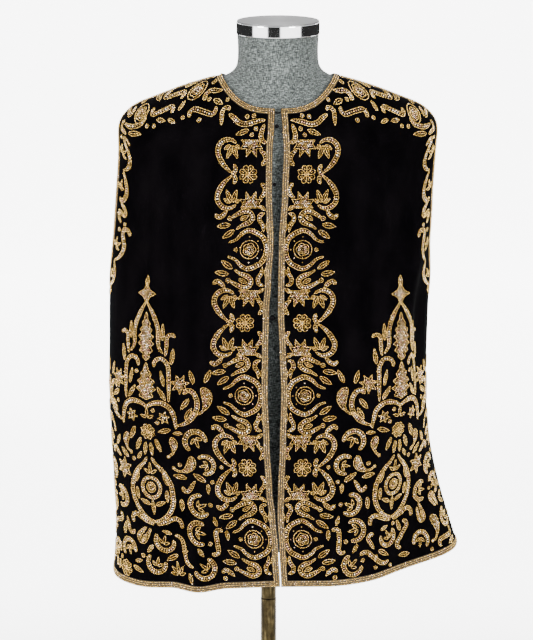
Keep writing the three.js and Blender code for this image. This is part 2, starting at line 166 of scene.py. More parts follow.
# One row a ring of the outer face: height at the sides, half width on the wearer's right and left,
# height and depth at the front, height and depth at the back, how square each half is, and how
# level the front runs.
RINGS = np.array(
    [
        [1477, 80, 80, 1435, 75, 1461, 63, 2.0, 2.0, 3.3],
        [1474.5, 89.6, 89.6, 1427.4, 80.8, 1457.5, 72, 2.0, 2.0, 3.2],
        [1468.5, 112, 112, 1417, 87, 1450, 83, 2.0, 2.0, 3.0],
        [1459, 142, 142, 1404, 94, 1438, 95, 2.0, 2.0, 2.7],
        [1447.5, 172, 172, 1387, 101.5, 1421, 107, 2.05, 2.05, 2.4],
        [1435.5, 202, 202, 1366, 109, 1399, 118.5, 2.15, 2.15, 2.2],
        [1423.5, 218, 218, 1344, 115.5, 1373, 126.5, 2.3, 2.3, 2.1],
        [1406.5, 228, 228, 1320, 120.5, 1343, 132, 2.5, 2.5, 2.0],
        [1372, 231.5, 228.5, 1291, 124.5, 1306, 136, 2.8, 2.8, 2.0],
        [1312, 236.5, 225.5, 1250, 128, 1261, 139, 3.0, 3.0, 2.0],
        [1240, 240, 223, 1200, 130, 1204, 141, 3.0, 3.0, 2.0],
        [1165, 243, 220.5, 1146, 132, 1147, 142, 2.95, 2.9, 2.0],
        [1100, 245, 219, 1094, 134, 1095, 143, 2.9, 2.8, 2.0],
        [1030, 248, 218.5, 1030, 136.5, 1030, 144, 2.9, 2.7, 2.0],
        [960, 246, 225, 960, 139.5, 960, 145, 2.95, 2.6, 2.0],
        [890, 242.5, 238, 890, 143, 890, 146, 3.0, 2.5, 2.0],
        [825, 240, 254, 825, 146.5, 825, 147, 3.1, 2.4, 2.0],
        [764.5, 243.5, 272, 764.5, 149.5, 764.5, 148, 3.2, 2.3, 2.0],
        [755, 244.5, 275, 755, 150, 755, 148, 3.2, 2.3, 2.0],
    ]
)
TIP_RING = 7
UNDERARM_RING = 11
HEM_RING = len(RINGS) - 1
ROWS_PER_RING = 7

# Where each free edge runs, across from the middle: height, wearer's right front, left front.
FRONT_EDGES = np.array(
    [
        [755, 3.2, 4.4],
        [812, 0.4, 1.6],
        [860, -3.6, -1.2],
        [895, -7.9, -0.3],
        [966, -11.8, 2.2],
        [1038, -14.4, 4.0],
        [1095, -13.7, 1.8],
        [1153, -12.5, -0.7],
        [1197, -9.5, -0.5],
        [1251, -6.2, 0.5],
        [1323, -8.5, 5.0],
        [1381, -7.6, 7.4],
        [1409, -5.3, 5.5],
        [1436, -4.4, 3.4],
    ]
)

# Folds of the hanging cloth: bearing and height of the start, bearing and height of the fullest
# place, end height (0 is the hem), width in degrees, how far out, and heading (nan is outwards).
OUTWARDS = math.nan
FOLDS = (
    (70, 1040, 66, 780, 0, 19, -34, 55),
    (70, 1310, 61, 1140, 960, 4.8, 7, OUTWARDS),
    (79, 1300, 71, 1140, 960, 5.5, -8, OUTWARDS),
    (-36, 900, -38, 790, 0, 6, 12, -8),
    (-47, 890, -49, 800, 0, 5, -5, OUTWARDS),
    (-104, 1090, -101, 860, 0, 9, -8, OUTWARDS),
    (-121, 1120, -119, 850, 0, 7, 6, OUTWARDS),
    (-142, 1230, -139, 850, 0, 8, 9, OUTWARDS),
    (176, 1180, 178, 830, 0, 9, -8, OUTWARDS),
    (140, 1250, 136, 860, 0, 8, 9, OUTWARDS),
    (113, 1120, 110, 850, 0, 8, -9, OUTWARDS),
)

# Slight creases of the velvet, in the same terms.
CREASES = (
    (-70, 1330, -66, 1240, 1080, 5, -2.2, OUTWARDS),
    (-79, 1260, -84, 1150, 1010, 6, 2.4, OUTWARDS),
    (-22, 1010, -27, 880, 0, 7, 1.6, OUTWARDS),
    (-60, 1000, -63, 860, 0, 7, -2.0, OUTWARDS),
    (24, 1000, 27, 880, 0, 8, 1.8, OUTWARDS),
    (46, 980, 43, 850, 0, 6, -2.4, OUTWARDS),
    (33, 1330, 38, 1230, 1110, 6, -1.8, OUTWARDS),
    (160, 1310, 156, 1220, 1060, 7, -2.4, OUTWARDS),
    (-158, 1330, -155, 1230, 1050, 7, -2.2, OUTWARDS),
    (128, 1180, 125, 1060, 0, 6, -2.6, OUTWARDS),
    (-130, 1150, -131, 1010, 0, 6, -2.2, OUTWARDS),
    (160, 1010, 158, 860, 0, 7, 3.0, OUTWARDS),
    (-162, 1030, -160, 870, 0, 7, 3.4, OUTWARDS),
)

# How much the hem is lifted at each bearing.
HEM_LIFTS = np.array(
    [
        [-180, 0],
        [-125, -3],
        [-92, -9],
        [-62, -10],
        [-46, -6],
        [-37, -6],
        [-24, -2],
        [0, 0],
        [40, 0],
        [95, 17],
        [135, 3],
        [180, 0],
    ]
)
HEM_LIFT_TOP = 960.0


class Side(Enum):
    """A half of the jacket, as the wearer has it."""

    RIGHT = -1
    LEFT = 1


@dataclass(frozen=True)
class ArmholeSizes:
    """How far an armhole is cut forward and back of the side seam, and how full its ends are."""

    front: float = 50.0
    back: float = 60.0
    roundness: float = 0.62


class JacketSurface:
    """The outer face of the jacket as a mapping from ring number and angle to a point."""

    def __init__(self, armhole: ArmholeSizes) -> None:
        """Keeps the armholes' sizes."""
        self.armhole = armhole

    @staticmethod
    def _half(ring: np.ndarray, is_left: np.ndarray) -> Tuple[np.ndarray, np.ndarray]:
        """Picks the sizes of one half of a ring.

        Args:
            ring: Rows of ring values.
            is_left: Whether each is on the wearer's left.

        Returns:
            The half's width and its squareness.
        """
        width = np.where(is_left, ring[..., 2], ring[..., 1])
        square = np.where(is_left, ring[..., 8], ring[..., 7])
        return width, square

    @staticmethod
    def _folded(x: np.ndarray, y: np.ndarray, z: np.ndarray) -> Points:
        """Moves points of the plain rings by the folds, the creases and the hem's lift.

        Args:
            x: Across, in mm.
            y: Depth, in mm.
            z: Height, in mm.

        Returns:
            The moved points.
        """
        bearing = np.degrees(np.arctan2(x, -y))
        moved = np.stack([x, y, z], axis=-1).astype(float)
        for start, start_z, full, full_z, end_z, width, out, heading in FOLDS + CREASES:
            grown = smooth((start_z - z) / (start_z - full_z))
            left = smooth((z - end_z) / (full_z - end_z)) if end_z else 1.0
            centre = start + (full - start) * grown
            off = np.mod(bearing - centre + 180.0, 360.0) - 180.0
            amount = out * grown * left * np.exp(-((off / width) ** 2))
            towards = np.radians(bearing if math.isnan(heading) else heading)
            moved[..., 0] += amount * np.sin(towards)
            moved[..., 1] -= amount * np.cos(towards)
        near_hem = smooth((HEM_LIFT_TOP - z) / (HEM_LIFT_TOP - RINGS[HEM_RING][0]))
        moved[..., 2] += eased(HEM_LIFTS[:, 0], HEM_LIFTS[:, 1], bearing) * near_hem
        return moved

    def points(self, at: np.ndarray, angle: np.ndarray) -> Points:
        """Finds points of the outer face.

        Args:
            at: Fractional ring numbers.
            angle: Angles round from the front, in radians.

        Returns:
            The points, in mm.
        """
        ring = table_rows(RINGS, at)
        width, square = self._half(ring, np.sin(angle) >= 0)
        across = signed_power(np.sin(angle), 2.0 / square)
        along = signed_power(np.cos(angle), 2.0 / square)
        is_front = along >= 0
        depth_z = np.where(is_front, ring[..., 3], ring[..., 5])
        depth = np.where(is_front, ring[..., 4], ring[..., 6])
        side_share = np.abs(across) ** ring[..., 9]
        z = ring[..., 0] * side_share + depth_z * (1.0 - side_share)
        return self._folded(width * across, -along * depth, z)

    def normal(self, at: float, angle: float) -> Points:
        """Finds the outward normal at one place.

        Args:
            at: Fractional ring number.
            angle: Angle round from the front, in radians.

        Returns:
            The unit normal.
        """
        ends = np.array([max(0.0, at - 0.02), min(float(HEM_RING), at + 0.02)])
        down = np.diff(self.points(ends, np.full(2, angle)), axis=0)[0]
        turns = np.array([angle - 0.012, angle + 0.012])
        around = np.diff(self.points(np.full(2, at), turns), axis=0)[0]
        return unit(np.cross(down, around))

    def side_angles(self, at: np.ndarray, is_front: bool, side: Side) -> np.ndarray:
        """Finds the angle at which each ring meets its armhole's edge or its side seam.

        Args:
            at: Fractional ring numbers.
            is_front: Whether it is the front panel's edge.
            side: The half of the jacket.

        Returns:
            The angles from the front or from the back, in radians.
        """
        ring = table_rows(RINGS, at)
        share = np.clip((at - TIP_RING) / (UNDERARM_RING - TIP_RING), 0.0, 1.0)
        most = self.armhole.front if is_front else self.armhole.back
        reach = most * np.sin(np.pi * share).clip(0.0) ** self.armhole.roundness
        depth = ring[..., 4] if is_front else ring[..., 6]
        _, square = self._half(ring, np.full(at.shape, side is Side.LEFT))
        return np.arccos((reach / depth) ** (square / 2.0))

    def edge_angles(self, at: np.ndarray, side: Side) -> np.ndarray:
        """Finds the angle of each ring at a front's free edge.

        Args:
            at: Fractional ring numbers.
            side: The half of the jacket.

        Returns:
            The angles, in radians.
        """
        ring = table_rows(RINGS, at)
        column = 1 if side is Side.RIGHT else 2
        x = eased(FRONT_EDGES[:, 0], FRONT_EDGES[:, column], ring[..., 3])
        width, square = self._half(ring, x >= 0)
        return np.arcsin(signed_power(x / width, square / 2.0))


class PanelLattice:
    """One panel's outer face as a fine grid of points, rows down and columns across."""

    SAMPLES = 420

    def __init__(
        self,
        surface: JacketSurface,
        rows: np.ndarray,
        ends: Tuple[np.ndarray, np.ndarray],
        margins: Tuple[np.ndarray, np.ndarray],
        columns: int,
    ) -> None:
        """Lays the grid.

        Args:
            surface: The jacket's outer face.
            rows: Ring number of each grid row.
            ends: Angles of the first and the last column in each row.
            margins: Lengths left off at the first and the last column in each row.
            columns: How many grid columns.
        """
        share = np.linspace(0.0, 1.0, self.SAMPLES + 1)
        angles = ends[0][:, None] + (ends[1] - ends[0])[:, None] * share
        at = np.repeat(rows[:, None], self.SAMPLES + 1, axis=1)
        steps = np.linalg.norm(np.diff(surface.points(at, angles), axis=1), axis=2)
        runs = np.concatenate([np.zeros((len(rows), 1)), np.cumsum(steps, axis=1)], axis=1)
        placed = np.empty((len(rows), columns))
        for i, run in enumerate(runs):
            wanted = np.linspace(margins[0][i], run[-1] - margins[1][i], columns)
            placed[i] = np.interp(wanted, run, angles[i])
        self.points = surface.points(np.repeat(rows[:, None], columns, axis=1), placed)
        down = np.gradient(self.points, axis=0)
        around = np.gradient(self.points, axis=1)
        turn = 1.0 if ends[1].mean() > ends[0].mean() else -1.0
        self.normals = unit(np.cross(down, around)) * turn
        self.width = runs[:, -1] - margins[0] - margins[1]
        drops = np.linalg.norm(np.diff(self.points, axis=0), axis=2)
        self.down = np.concatenate([np.zeros((1, columns)), np.cumsum(drops, axis=0)], axis=0)
        self.up = self.down[-1] - self.down
        self.face_out = turn > 0

    @property
    def last_row(self) -> int:
        """Number of the last row."""
        return self.points.shape[0] - 1

    @property
    def last_column(self) -> int:
        """Number of the last column."""
        return self.points.shape[1] - 1

    def sample(self, field: np.ndarray, row: np.ndarray, column: np.ndarray) -> np.ndarray:
        """Reads a field of the grid between its points.

        Args:
            field: Values at the grid's points.
            row: Fractional row numbers.
            column: Fractional column numbers.

        Returns:
            The values there.
        """
        row = np.clip(row, 0.0, self.last_row)
        column = np.clip(column, 0.0, self.last_column)
        i = np.minimum(row.astype(int), self.last_row - 1)
        j = np.minimum(column.astype(int), self.last_column - 1)
        f = row - i
        g = column - j
        if field.ndim == 3:
            f = f[:, None]
            g = g[:, None]
        near = field[i, j] * (1 - g) + field[i, j + 1] * g
        far = field[i + 1, j] * (1 - g) + field[i + 1, j + 1] * g
        return near * (1 - f) + far * f

    def column_at(self, row: np.ndarray, distance: np.ndarray) -> np.ndarray:
        """Turns distances from the first column into column numbers."""
        width = np.interp(row, np.arange(len(self.width)), self.width)
        return distance / width * self.last_column

    def area(self) -> float:
        """Measures the panel.

        Returns:
            Its area, in square metres.
        """
        down = np.diff(self.points, axis=0)[:, :-1]
        across = np.diff(self.points, axis=1)[:-1]
        return float(np.linalg.norm(np.cross(down, across), axis=2).sum()) * MM * MM


def lattice_rows() -> np.ndarray:
    """Spaces grid rows over the rings."""
    return np.linspace(0.0, HEM_RING, HEM_RING * ROWS_PER_RING + 1)


def seam_margins(rows: np.ndarray, half_gap: float = 0.16) -> np.ndarray:
    """Finds how far a panel stops short of its seams."""
    return np.where((rows <= TIP_RING) | (rows >= UNDERARM_RING), half_gap, 0.0)


def front_lattice(surface: JacketSurface, side: Side, columns: int) -> PanelLattice:
    """Lays the grid of a front, from its free edge to its side.

    Args:
        surface: The jacket's outer face.
        side: Which front.
        columns: Grid columns.

    Returns:
        The grid.
    """
    rows = lattice_rows()
    ends = (
        surface.edge_angles(rows, side),
        side.value * surface.side_angles(rows, True, side),
    )
    return PanelLattice(surface, rows, ends, (np.zeros(len(rows)), seam_margins(rows)), columns)


def back_lattice(surface: JacketSurface, columns: int) -> PanelLattice:
    """Lays the grid of the back, from the wearer's left to the right.

    Args:
        surface: The jacket's outer face.
        columns: Grid columns.

    Returns:
        The grid.
    """
    rows = lattice_rows()
    ends = (
        np.pi - surface.side_angles(rows, False, Side.LEFT),
        np.pi + surface.side_angles(rows, False, Side.RIGHT),
    )
    margin = seam_margins(rows)
    return PanelLattice(surface, rows, ends, (margin, margin), columns)


# ---------- charts: flat coordinates on a panel ----------


class Chart(ABC):
    """Turns flat coordinates, in mm, into places on a panel's grid."""

    def __init__(self, lattice: PanelLattice) -> None:
        """Keeps the panel's grid."""
        self.lattice = lattice

    @abstractmethod
    def places(self, flat: np.ndarray) -> Tuple[np.ndarray, np.ndarray]:
        """Finds grid places."""

    def _rows_where(
        self, field: np.ndarray, wanted: np.ndarray, distance: np.ndarray, rising: bool
    ) -> Tuple[np.ndarray, np.ndarray]:
        """Finds the row in which a field has a wanted value, at a distance along the row.

        Args:
            field: Values at the grid's points, steady down each column.
            wanted: The wanted values.
            distance: Distances from the first column, in mm.
            rising: Whether the field rises with the row number.

        Returns:
            Fractional row and column numbers.
        """
        low = np.zeros(len(wanted))
        high = np.full(len(wanted), float(self.lattice.last_row))
        for _ in range(16):
            middle = 0.5 * (low + high)
            column = self.lattice.column_at(middle, distance)
            value = self.lattice.sample(field, middle, column)
            is_before = value < wanted if rising else value > wanted
            low = np.where(is_before, middle, low)
            high = np.where(is_before, high, middle)
        row = 0.5 * (low + high)
        return row, self.lattice.column_at(row, distance)


class FieldChart(Chart):
    """Distance from the first column, and height above the floor."""

    def places(self, flat: np.ndarray) -> Tuple[np.ndarray, np.ndarray]:
        """Finds grid places."""
        return self._rows_where(self.lattice.points[..., 2], flat[:, 1], flat[:, 0], False)


class SideChart(Chart):
    """Distance down a panel's outer edge from the neckline, and distance in from that edge."""

    def __init__(self, lattice: PanelLattice, at_first: bool) -> None:
        """Measures the edge.

        Args:
            lattice: The grid.
            at_first: Whether the edge is the grid's first column.
        """
        super().__init__(lattice)
        self.at_first = at_first
        self.run = lattice.down[:, 0 if at_first else -1]

    def places(self, flat: np.ndarray) -> Tuple[np.ndarray, np.ndarray]:
        """Finds grid places.

        Args:
            flat: Distance down and distance in, in rows.

        Returns:
            Fractional row and column numbers.
        """
        row = np.interp(flat[:, 0], self.run, np.arange(len(self.run)))
        column = self.lattice.column_at(row, flat[:, 1])
        return row, column if self.at_first else self.lattice.last_column - column


class RimChart(Chart):
    """Distance along the neckline or the hem, and distance in from it."""

    def __init__(self, lattice: PanelLattice, at_top: bool) -> None:
        """Keeps which rim it is."""
        super().__init__(lattice)
        self.at_top = at_top

    def places(self, flat: np.ndarray) -> Tuple[np.ndarray, np.ndarray]:
        """Finds grid places."""
        field = self.lattice.down if self.at_top else self.lattice.up
        return self._rows_where(field, flat[:, 1], flat[:, 0], self.at_top)


# ---------- meshes ----------


def mesh_object(
    name: str,
    points: Points,
    faces: Sequence[np.ndarray],
    smooth_faces: Sequence[bool],
    slots: Optional[np.ndarray] = None,
) -> bpy.types.Object:
    """Makes a mesh object from arrays.

    Args:
        name: The piece's name.
        points: Vertices in mm, in the jacket's frame.
        faces: Arrays of faces, each with its own number of corners.
        smooth_faces: Whether each array's faces are shaded smooth.
        slots: Material number of every face, or none for the first.

    Returns:
        The object, riding on the part's only body.
    """
    mesh = bpy.data.meshes.new(name)
    placed = points * MM
    placed[:, 0] += JACKET_X * MM
    mesh.vertices.add(len(placed))
    mesh.vertices.foreach_set("co", placed.astype(np.float32).ravel())
    loops = np.concatenate([f.ravel() for f in faces]).astype(np.int32)
    sizes = np.concatenate([np.full(len(f), f.shape[1]) for f in faces])
    starts = np.concatenate([[0], np.cumsum(sizes)[:-1]]).astype(np.int32)
    mesh.loops.add(len(loops))
    mesh.loops.foreach_set("vertex_index", loops)
    mesh.polygons.add(len(sizes))
    mesh.polygons.foreach_set("loop_start", starts)
    is_smooth = np.concatenate([np.full(len(f), s) for f, s in zip(faces, smooth_faces)])
    mesh.polygons.foreach_set("use_smooth", is_smooth)
    if slots is not None:
        mesh.polygons.foreach_set("material_index", slots.astype(np.int32))
    mesh.update(calc_edges=True)
    mesh.validate()
    made = bpy.data.objects.new(name, mesh)
    bpy.context.scene.collection.objects.link(made)
    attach(made, "root")
    return made


def triangle_count(made: bpy.types.Object) -> int:
    """Counts a piece's triangles."""
    return sum(len(p.vertices) - 2 for p in made.data.polygons)


def report(made: bpy.types.Object) -> None:
    """Logs a finished piece."""
    LOG.info("%s: %d triangles", made.name, triangle_count(made))


def turned_mesh(
    name: str,
    outline: Flat,
    sides: int,
    centre: Tuple[float, float, float],
    tilt: float = 0.0,
) -> bpy.types.Object:
    """Turns an outline about an upright axis.

    Args:
        name: The piece's name.
        outline: Radius and height pairs; the first and last lie on the axis.
        sides: Sides of each ring.
        centre: Where the axis starts, in the jacket's frame.
        tilt: Lean of the axis about x, in radians.

    Returns:
        The object.
    """
    turn = np.linspace(0.0, 2 * np.pi, sides, endpoint=False)
    middle = np.asarray(outline[1:-1], float)
    rings = np.stack(
        [
            middle[:, 0, None] * np.cos(turn),
            middle[:, 0, None] * np.sin(turn),
            np.repeat(middle[:, 1, None], sides, axis=1),
        ],
        axis=-1,
    )
    ends = np.array([[0.0, 0.0, outline[0][1]], [0.0, 0.0, outline[-1][1]]])
    local = np.vstack([rings.reshape(-1, 3), ends])
    cos, sin = math.cos(tilt), math.sin(tilt)
    y = local[:, 1] * cos - local[:, 2] * sin
    z = local[:, 1] * sin + local[:, 2] * cos
    points = np.stack([local[:, 0], y, z], axis=1) + np.asarray(centre)
    k = np.arange(sides)
    after = (k + 1) % sides
    first = len(middle) * sides
    faces = [np.stack([np.full(sides, first), after, k], axis=1)]
    shades = [False]
    for band in range(len(middle) - 1):
        low = band * sides
        high = low + sides
        faces.append(np.stack([low + k, low + after, high + after, high + k], axis=1))
        shades.append(True)
    top = (len(middle) - 1) * sides
    faces.append(np.stack([np.full(sides, first + 1), top + k, top + after], axis=1))
    shades.append(False)
    return mesh_object(name, points, faces, shades)


# ---------- finishes ----------


@dataclass(frozen=True)
class Grain:
    """A noise texture: its stretch along each axis, its scale per metre and its detail."""

    stretch: Tuple[float, float, float]
    scale: float
    detail: float


class NodeKit:
    """A material with its shader and short ways to add nodes."""

    def __init__(self, name: str) -> None:
        """Starts a material.

        Args:
            name: The material's name.
        """
        self.material = bpy.data.materials.new(name)
        self.material.use_nodes = True
        self.tree = self.material.node_tree
        self.shader = self.tree.nodes["Principled BSDF"]

    def feed(self, node: bpy.types.Node, inputs: Inputs) -> None:
        """Gives a node's sockets what they take.

        Args:
            node: The node.
            inputs: Another node's output or a constant for each socket.
        """
        for key, value in inputs.items():
            if isinstance(value, bpy.types.NodeSocket):
                self.tree.links.new(value, node.inputs[key])
            else:
                node.inputs[key].default_value = value

    def add(self, kind: str, inputs: Inputs, **settings: object) -> bpy.types.NodeSocket:
        """Adds a node.

        Args:
            kind: The node's type.
            inputs: What its sockets take.
            settings: Attributes to set on it.

        Returns:
            The node's first output.
        """
        node = self.tree.nodes.new(kind)
        for key, value in settings.items():
            setattr(node, key, value)
        self.feed(node, inputs)
        return node.outputs[0]

    def place(self, stretch: Tuple[float, float, float] = EVEN) -> bpy.types.NodeSocket:
        """Adds stretched object coordinates."""
        place = self.tree.nodes.new("ShaderNodeTexCoord").outputs["Object"]
        return self.add("ShaderNodeMapping", {"Vector": place, "Scale": stretch})

    def noise(self, grain: Grain) -> bpy.types.NodeSocket:
        """Adds a noise texture."""
        inputs = {"Vector": self.place(grain.stretch), "Scale": grain.scale, "Detail": grain.detail}
        return self.add("ShaderNodeTexNoise", inputs)

    def paint(self, value: bpy.types.NodeSocket, stops: Stops) -> None:
        """Colours the shader by a ramp.

        Args:
            value: What the ramp reads.
            stops: Places and colours.
        """
        node = self.tree.nodes.new("ShaderNodeValToRGB")
        elements = node.color_ramp.elements
        while len(elements) < len(stops):
            elements.new(0.5)
        for element, (place, colour) in zip(elements, stops):
            element.position = place
            element.color = (*colour, 1.0)
        self.feed(node, {"Fac": value})
        self.feed(self.shader, {"Base Color": node.outputs["Color"]})


@dataclass(frozen=True)
class Finish:
    """A finish whose colour follows one grain, or the product of two.

    The relief is a bump's strength and height in metres, from its own grain if it has one. The
    roughness, where it varies, runs with the grain from its first value to its second.
    """

    name: str
    constants: Inputs
    grain: Grain
    stops: Stops
    crossing: Optional[Grain] = None
    relief: Tuple[float, float] = (0.0, 0.0)
    relief_grain: Optional[Grain] = None
    roughness: Optional[Tuple[float, float]] = None

    def material(self) -> bpy.types.Material:
        """Makes the material.

        Returns:
            The material.
        """
        kit = NodeKit(self.name)
        kit.feed(kit.shader, self.constants)
        value = kit.noise(self.grain)
        if self.crossing:
            value = kit.add("ShaderNodeMath", {0: value, 1: kit.noise(self.crossing)}, operation="MULTIPLY")
        kit.paint(value, self.stops)
        if self.relief[0]:
            height = kit.noise(self.relief_grain) if self.relief_grain else value
            strength, distance = self.relief
            bump = kit.add("ShaderNodeBump", {"Height": height, "Strength": strength, "Distance": distance})
            kit.feed(kit.shader, {"Normal": bump})
        if self.roughness:
            first, last = self.roughness
            rough = kit.add("ShaderNodeMapRange", {"Value": value, "To Min": first, "To Max": last})
            kit.feed(kit.shader, {"Roughness": rough})
        return kit.material


VELVET = Finish(
    "black_velvet",
    {"Roughness": 0.95, "Specular IOR Level": 0.008, "Sheen Weight": 0.006, "Sheen Roughness": 0.4},
    Grain((1.0, 1.0, 0.35), 34.0, 4.0),
    ((0.35, (0.0004, 0.0003, 0.0005)), (0.75, (0.0015, 0.0012, 0.0015))),
    relief=(0.25, 0.0004),
    relief_grain=Grain(EVEN, 1400.0, 2.0),
)
HEATHER = Finish(
    "grey_heather",
    {"Roughness": 0.9, "Specular IOR Level": 0.2, "Sheen Weight": 0.1, "Sheen Roughness": 0.5},
    Grain((0.35, 0.35, 2.6), 520.0, 2.0),
    ((0.16, (0.010, 0.012, 0.011)), (0.25, (0.042, 0.049, 0.046)), (0.36, (0.16, 0.178, 0.17))),
    crossing=Grain((2.6, 2.6, 0.35), 520.0, 2.0),
    relief=(0.5, 0.0006),
)
CHROME = Finish(
    "polished_chrome",
    {"Metallic": 1.0},
    Grain((1.0, 1.0, 6.0), 26.0, 3.0),
    ((0.3, (0.78, 0.79, 0.8)), (0.7, (0.9, 0.9, 0.91))),
    roughness=(0.05, 0.12),
)
BRUSHED = Finish(
    "brushed_plate",
    {"Metallic": 1.0, "Roughness": 0.36, "Anisotropic": 0.5, "Specular Tint": (0.2, 0.2, 0.2, 1.0)},
    Grain((0.25, 14.0, 1.0), 120.0, 4.0),
    ((0.3, (0.2, 0.2, 0.203)), (0.7, (0.32, 0.32, 0.323))),
    relief=(0.06, 0.0003),
)
BRASS = Finish(
    "antique_brass",
    {"Metallic": 1.0},
    Grain((3.0, 3.0, 0.3), 90.0, 3.0),
    ((0.13, (0.01, 0.0075, 0.0034)), (0.25, (0.036, 0.027, 0.012)), (0.4, (0.1, 0.077, 0.034))),
    crossing=Grain((1.0, 1.0, 0.7), 120.0, 5.0),
    roughness=(0.26, 0.12),
)
TAPE = Finish(
    "braid_tape",
    {"Roughness": 0.7, "Metallic": 0.3},
    Grain(EVEN, 900.0, 2.0),
    ((0.35, (0.006, 0.004, 0.002)), (0.68, (0.05, 0.033, 0.012))),
)


def gloss(name: str, roughness: float) -> Finish:
    """Gives black lacquer or glass with a slight unevenness."""
    stops = ((0.3, (0.0006, 0.0006, 0.0008)), (0.7, (0.0022, 0.002, 0.0023)))
    return Finish(name, {"Roughness": roughness, "Specular IOR Level": 0.03}, Grain(EVEN, 300.0, 2.0), stops)


def bead(name: str, dark: Colour, light: Colour, metallic: float, roughness: float) -> Finish:
    """Gives glass or metal beads of one tone, each a little different from the next."""
    constants = {"Metallic": metallic, "Roughness": roughness}
    return Finish(name, constants, Grain(EVEN, 620.0, 1.0), ((0.36, dark), (0.64, light)))


class Tone(Enum):
    """The tones in which beads are strung."""

    GOLD = bead("bead_gold", (0.26, 0.15, 0.028), (0.86, 0.6, 0.17), 1.0, 0.24)
    OLD_GOLD = bead("bead_old_gold", (0.11, 0.062, 0.016), (0.55, 0.35, 0.11), 1.0, 0.34)
    CHAMPAGNE = bead("bead_champagne", (0.44, 0.28, 0.14), (1.0, 0.8, 0.55), 0.9, 0.16)
    ROSE = bead("bead_rose", (0.26, 0.12, 0.07), (0.85, 0.52, 0.36), 0.9, 0.24)
    CRYSTAL = bead("bead_crystal", (0.66, 0.5, 0.36), (1.0, 0.93, 0.8), 0.75, 0.08)


TONES = tuple(Tone)


@dataclass(frozen=True)
class StudioFinish:
    """Plain matt paper or card for the studio, whose glow grows from near to far."""

    name: str
    shade: float
    glow: Tuple[float, float] = (0.0, 0.0)
    near: float = 0.5
    far: float = 2.2

    def material(self) -> bpy.types.Material:
        """Makes the material.

        Returns:
            The material.
        """
        kit = NodeKit(self.name)
        kit.feed(kit.shader, {"Roughness": 1.0, "Specular IOR Level": 0.0, "Emission Color": (1.0,) * 4})
        stops = ((0.0, (self.shade * 0.995,) * 3), (1.0, (self.shade,) * 3))
        kit.paint(kit.noise(Grain(EVEN, 3.0, 1.0)), stops)
        apart = kit.tree.nodes.new("ShaderNodeSeparateXYZ")
        kit.feed(apart, {"Vector": kit.place()})
        reach = {"Value": apart.outputs["Y"], "From Min": self.near, "From Max": self.far}
        reach.update({"To Min": self.glow[0], "To Max": self.glow[1]})
        farther = kit.add("ShaderNodeMapRange", reach, interpolation_type="SMOOTHSTEP")
        kit.feed(kit.shader, {"Emission Strength": farther})
        return kit.material


# ---------- beads ----------


@dataclass(frozen=True)
class BeadKind:
    """A bead's size as strung, in mm, and the shares of tones it comes in."""

    length: float
    width: float
    height: float
    spacing: float
    tones: Tuple[float, float, float, float, float]
    fine: bool = True


OUTLINE = BeadKind(1.6, 1.6, 1.6, 1.74, (0.72, 0.24, 0.04, 0.0, 0.0), fine=False)
FILL = BeadKind(2.4, 3.9, 2.2, 3.6, (0.08, 0.32, 0.33, 0.12, 0.15))
CRYSTALS = BeadKind(2.0, 2.0, 2.4, 2.5, (0.15, 0.4, 0.2, 0.12, 0.13))
BRAID = BeadKind(1.75, 2.0, 2.2, 2.1, (0.52, 0.38, 0.1, 0.0, 0.0))


def bead_shape(fine: bool) -> Tuple[np.ndarray, np.ndarray]:
    """Makes a bead's cap with its lower part left off, where it is sunk in the nap.

    Args:
        fine: Whether it has the finer form.

    Returns:
        Points of a bead of radius one, and its triangles.
    """
    if fine:
        turn = np.arange(5) * 2 * np.pi / 5
        low = np.stack([0.9 * np.cos(turn + np.pi / 5), 0.9 * np.sin(turn + np.pi / 5)], axis=1)
        high = np.stack([0.86 * np.cos(turn), 0.86 * np.sin(turn)], axis=1)
        points = np.vstack(
            [
                np.column_stack([low, np.full(5, -0.45)]),
                np.column_stack([high, np.full(5, 0.45)]),
                [[0.0, 0.0, 1.0]],
            ]
        )
        faces = []
        for k in range(5):
            after = (k + 1) % 5
            faces += [[k, 5 + after, 5 + k], [k, after, 5 + after], [5 + k, 5 + after, 10]]
        return points, np.array(faces)
    wide = np.arange(6) * np.pi / 3
    narrow = np.arange(3) * 2 * np.pi / 3 + np.pi / 6
    points = np.vstack(
        [
            np.column_stack([0.96 * np.cos(wide), 0.96 * np.sin(wide), np.full(6, -0.3)]),
            np.column_stack([0.52 * np.cos(narrow), 0.52 * np.sin(narrow), np.full(3, 0.86)]),
        ]
    )
    faces = [[6, 7, 8]]
    for k in range(3):
        a, b, c = (2 * k) % 6, (2 * k + 1) % 6, (2 * k + 2) % 6
        top, after = 6 + k, 6 + (k + 1) % 3
        faces += [[a, b, top], [b, c, after], [b, after, top]]
    return points, np.array(faces)


